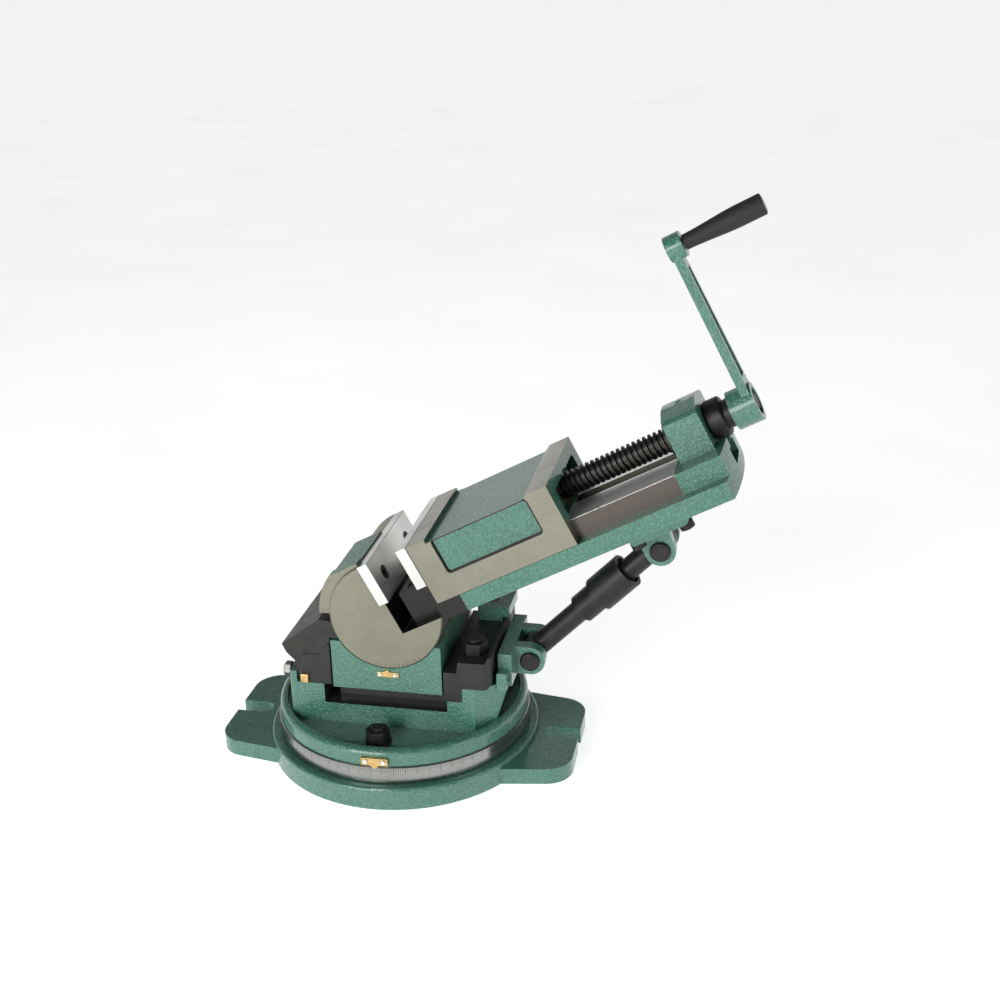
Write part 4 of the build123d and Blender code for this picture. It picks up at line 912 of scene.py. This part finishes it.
class VISE_OT_grip(bpy.types.Operator):
    """Turn the crank's grip, slim at the arm and cut flat at its end"""

    bl_idname = "vise.grip"
    bl_label = "Crank grip"

    def execute(self, context):
        low, high = bed_extent("crank_grip")
        # a little shorter and slimmer than its node, so that the flat end's corner stays in the node's box
        length = high.x - low.x - 1.0 * MM
        swell = high.y - 0.8 * MM
        root = 6.5 * MM
        edge = 0.7 * MM
        bore = 5.05 * MM
        recess = bed_extent("grip_spindle")[1].y + 0.4 * MM
        recess_floor = length - 2.3 * MM
        swell_at = 0.72
        steps = 14
        outline = [(bore, 0.0)]
        for k in range(steps + 1):
            way = k / steps
            ease = min(1.0, way / swell_at)
            ease = ease * ease * (3 - 2 * ease)
            outline.append((root + (swell - root) * ease, way * (length - edge)))
        outline += [(swell - edge, length), (recess, length), (recess, recess_floor), (bore, recess_floor)]
        outline.append(outline[0])
        grip = turned(outline, 64)
        make_active(grip)
        bpy.ops.object.mode_set(mode="EDIT")
        bpy.ops.mesh.select_all(action="SELECT")
        bpy.ops.mesh.remove_doubles(threshold=1e-6)
        bpy.ops.mesh.normals_make_consistent(inside=False)
        bpy.ops.transform.translate(value=(0, 0, low.x))
        bpy.ops.object.mode_set(mode="OBJECT")
        bpy.ops.object.shade_smooth_by_angle(angle=math.radians(35))
        lay_along_bed(grip, (low.z + high.z) / 2)
        dress(grip, "turned_grip", "black_plastic", "crank_grip")
        return {"FINISHED"}


class VISE_OT_stage(bpy.types.Operator):
    """Set the floor, the lights and the camera"""

    bl_idname = "vise.stage"
    bl_label = "Studio"

    def execute(self, context):
        scene = context.scene
        stage = scene.vise_stage
        target = Vector(stage.target)
        a, e, r = stage.azimuth, stage.elevation, stage.roll
        back = Vector((math.sin(a) * math.cos(e), -math.cos(a) * math.cos(e), math.sin(e)))
        right = Vector((math.cos(a), math.sin(a), 0))
        up = back.cross(right)
        right_rolled = right * math.cos(r) + up * math.sin(r)
        up_rolled = up * math.cos(r) - right * math.sin(r)

        deselect_all()
        bpy.ops.mesh.primitive_plane_add(size=120, location=(0, 0, 0))
        floor = context.object
        floor.name = "studio_floor"
        floor.data.transform(Matrix.Translation((0, 0, FLOOR_LEVEL)))
        shader = Shader("floor_paper")
        tone = shader.ramp(shader.noise(3.0, 3), 0.3, 0.7, 0.0, 1.0)
        colour = shader.blend(tone, (0.86, 0.86, 0.86, 1), (0.90, 0.90, 0.90, 1))
        paper = shader.finish(colour, 0.75, 0.0, specular=0.2)
        shader.feed(shader.surface.inputs["Emission Color"], colour)
        shader.surface.inputs["Emission Strength"].default_value = stage.glow
        set_material(floor, paper)

        world = bpy.data.worlds.new("studio")
        world.use_nodes = True
        nodes, links = world.node_tree.nodes, world.node_tree.links
        direction = nodes.new("ShaderNodeTexCoord").outputs["Generated"]
        parts = nodes.new("ShaderNodeSeparateXYZ")
        height = nodes.new("ShaderNodeMapRange")
        links.new(direction, parts.inputs[0])
        links.new(parts.outputs["Z"], height.inputs["Value"])
        height.inputs["From Min"].default_value = SKY_BAND[0]
        height.inputs["From Max"].default_value = SKY_BAND[1]
        height.inputs["To Min"].default_value = stage.sky
        height.inputs["To Max"].default_value = stage.ceiling
        links.new(height.outputs["Result"], nodes["Background"].inputs["Strength"])
        nodes["Background"].inputs["Color"].default_value = (1, 1, 1, 1)
        scene.world = world

        for name, offset, size, share in SOFTBOXES:
            place = target + Vector(offset)
            bpy.ops.object.light_add(type="AREA", location=place)
            light = context.object
            light.name = name
            light.data.shape = "SQUARE"
            light.data.size = size
            light.data.energy = stage.key_power * share
            light.rotation_euler = (target - place).to_track_quat("-Z", "Y").to_euler()

        bpy.ops.object.camera_add()
        camera = context.object
        camera.name = "studio_camera"
        turn = Matrix((right_rolled, up_rolled, back)).transposed().to_4x4()
        turn.translation = target + back * stage.distance
        camera.matrix_world = turn
        camera.data.lens = stage.lens
        camera.data.sensor_width = 36.0
        camera.data.shift_x = CAMERA_SHIFT[0]
        camera.data.shift_y = CAMERA_SHIFT[1]
        camera.data.clip_start, camera.data.clip_end = 0.05, 50
        scene.camera = camera
        scene.view_settings.view_transform = "Standard"
        return {"FINISHED"}


OPERATORS = (
    VISE_OT_materials, VISE_OT_castings, VISE_OT_base_band, VISE_OT_jaws, VISE_OT_clamps, VISE_OT_fasteners,
    VISE_OT_lead_screw, VISE_OT_grip, VISE_OT_stage,
)


class VISE_PT_panel(bpy.types.Panel):
    """Shows the vise's sizes, colours and stage settings, and a button for each operator"""

    bl_idname = "VISE_PT_panel"
    bl_label = "Machine vise"
    bl_space_type = "VIEW_3D"
    bl_region_type = "UI"
    bl_category = "Vise"

    def draw(self, context):
        for group in (context.scene.vise_sizes, context.scene.vise_colours, context.scene.vise_stage):
            box = self.layout.box()
            for name in group.__annotations__:
                box.prop(group, name)
        for operator in OPERATORS:
            self.layout.operator(operator.bl_idname)


CLASSES = (ViseSizes, ViseColours, ViseStage, *OPERATORS, VISE_PT_panel)


def register():
    for cls in CLASSES:
        bpy.utils.register_class(cls)
    bpy.types.Scene.vise_sizes = bpy.props.PointerProperty(type=ViseSizes)
    bpy.types.Scene.vise_colours = bpy.props.PointerProperty(type=ViseColours)
    bpy.types.Scene.vise_stage = bpy.props.PointerProperty(type=ViseStage)


def unregister():
    del bpy.types.Scene.vise_stage
    del bpy.types.Scene.vise_colours
    del bpy.types.Scene.vise_sizes
    for cls in reversed(CLASSES):
        bpy.utils.unregister_class(cls)


def main():
    register()
    for operator in OPERATORS:
        group, name = operator.bl_idname.split(".")
        getattr(getattr(bpy.ops, group), name)()


if __name__ == "__main__":
    main()
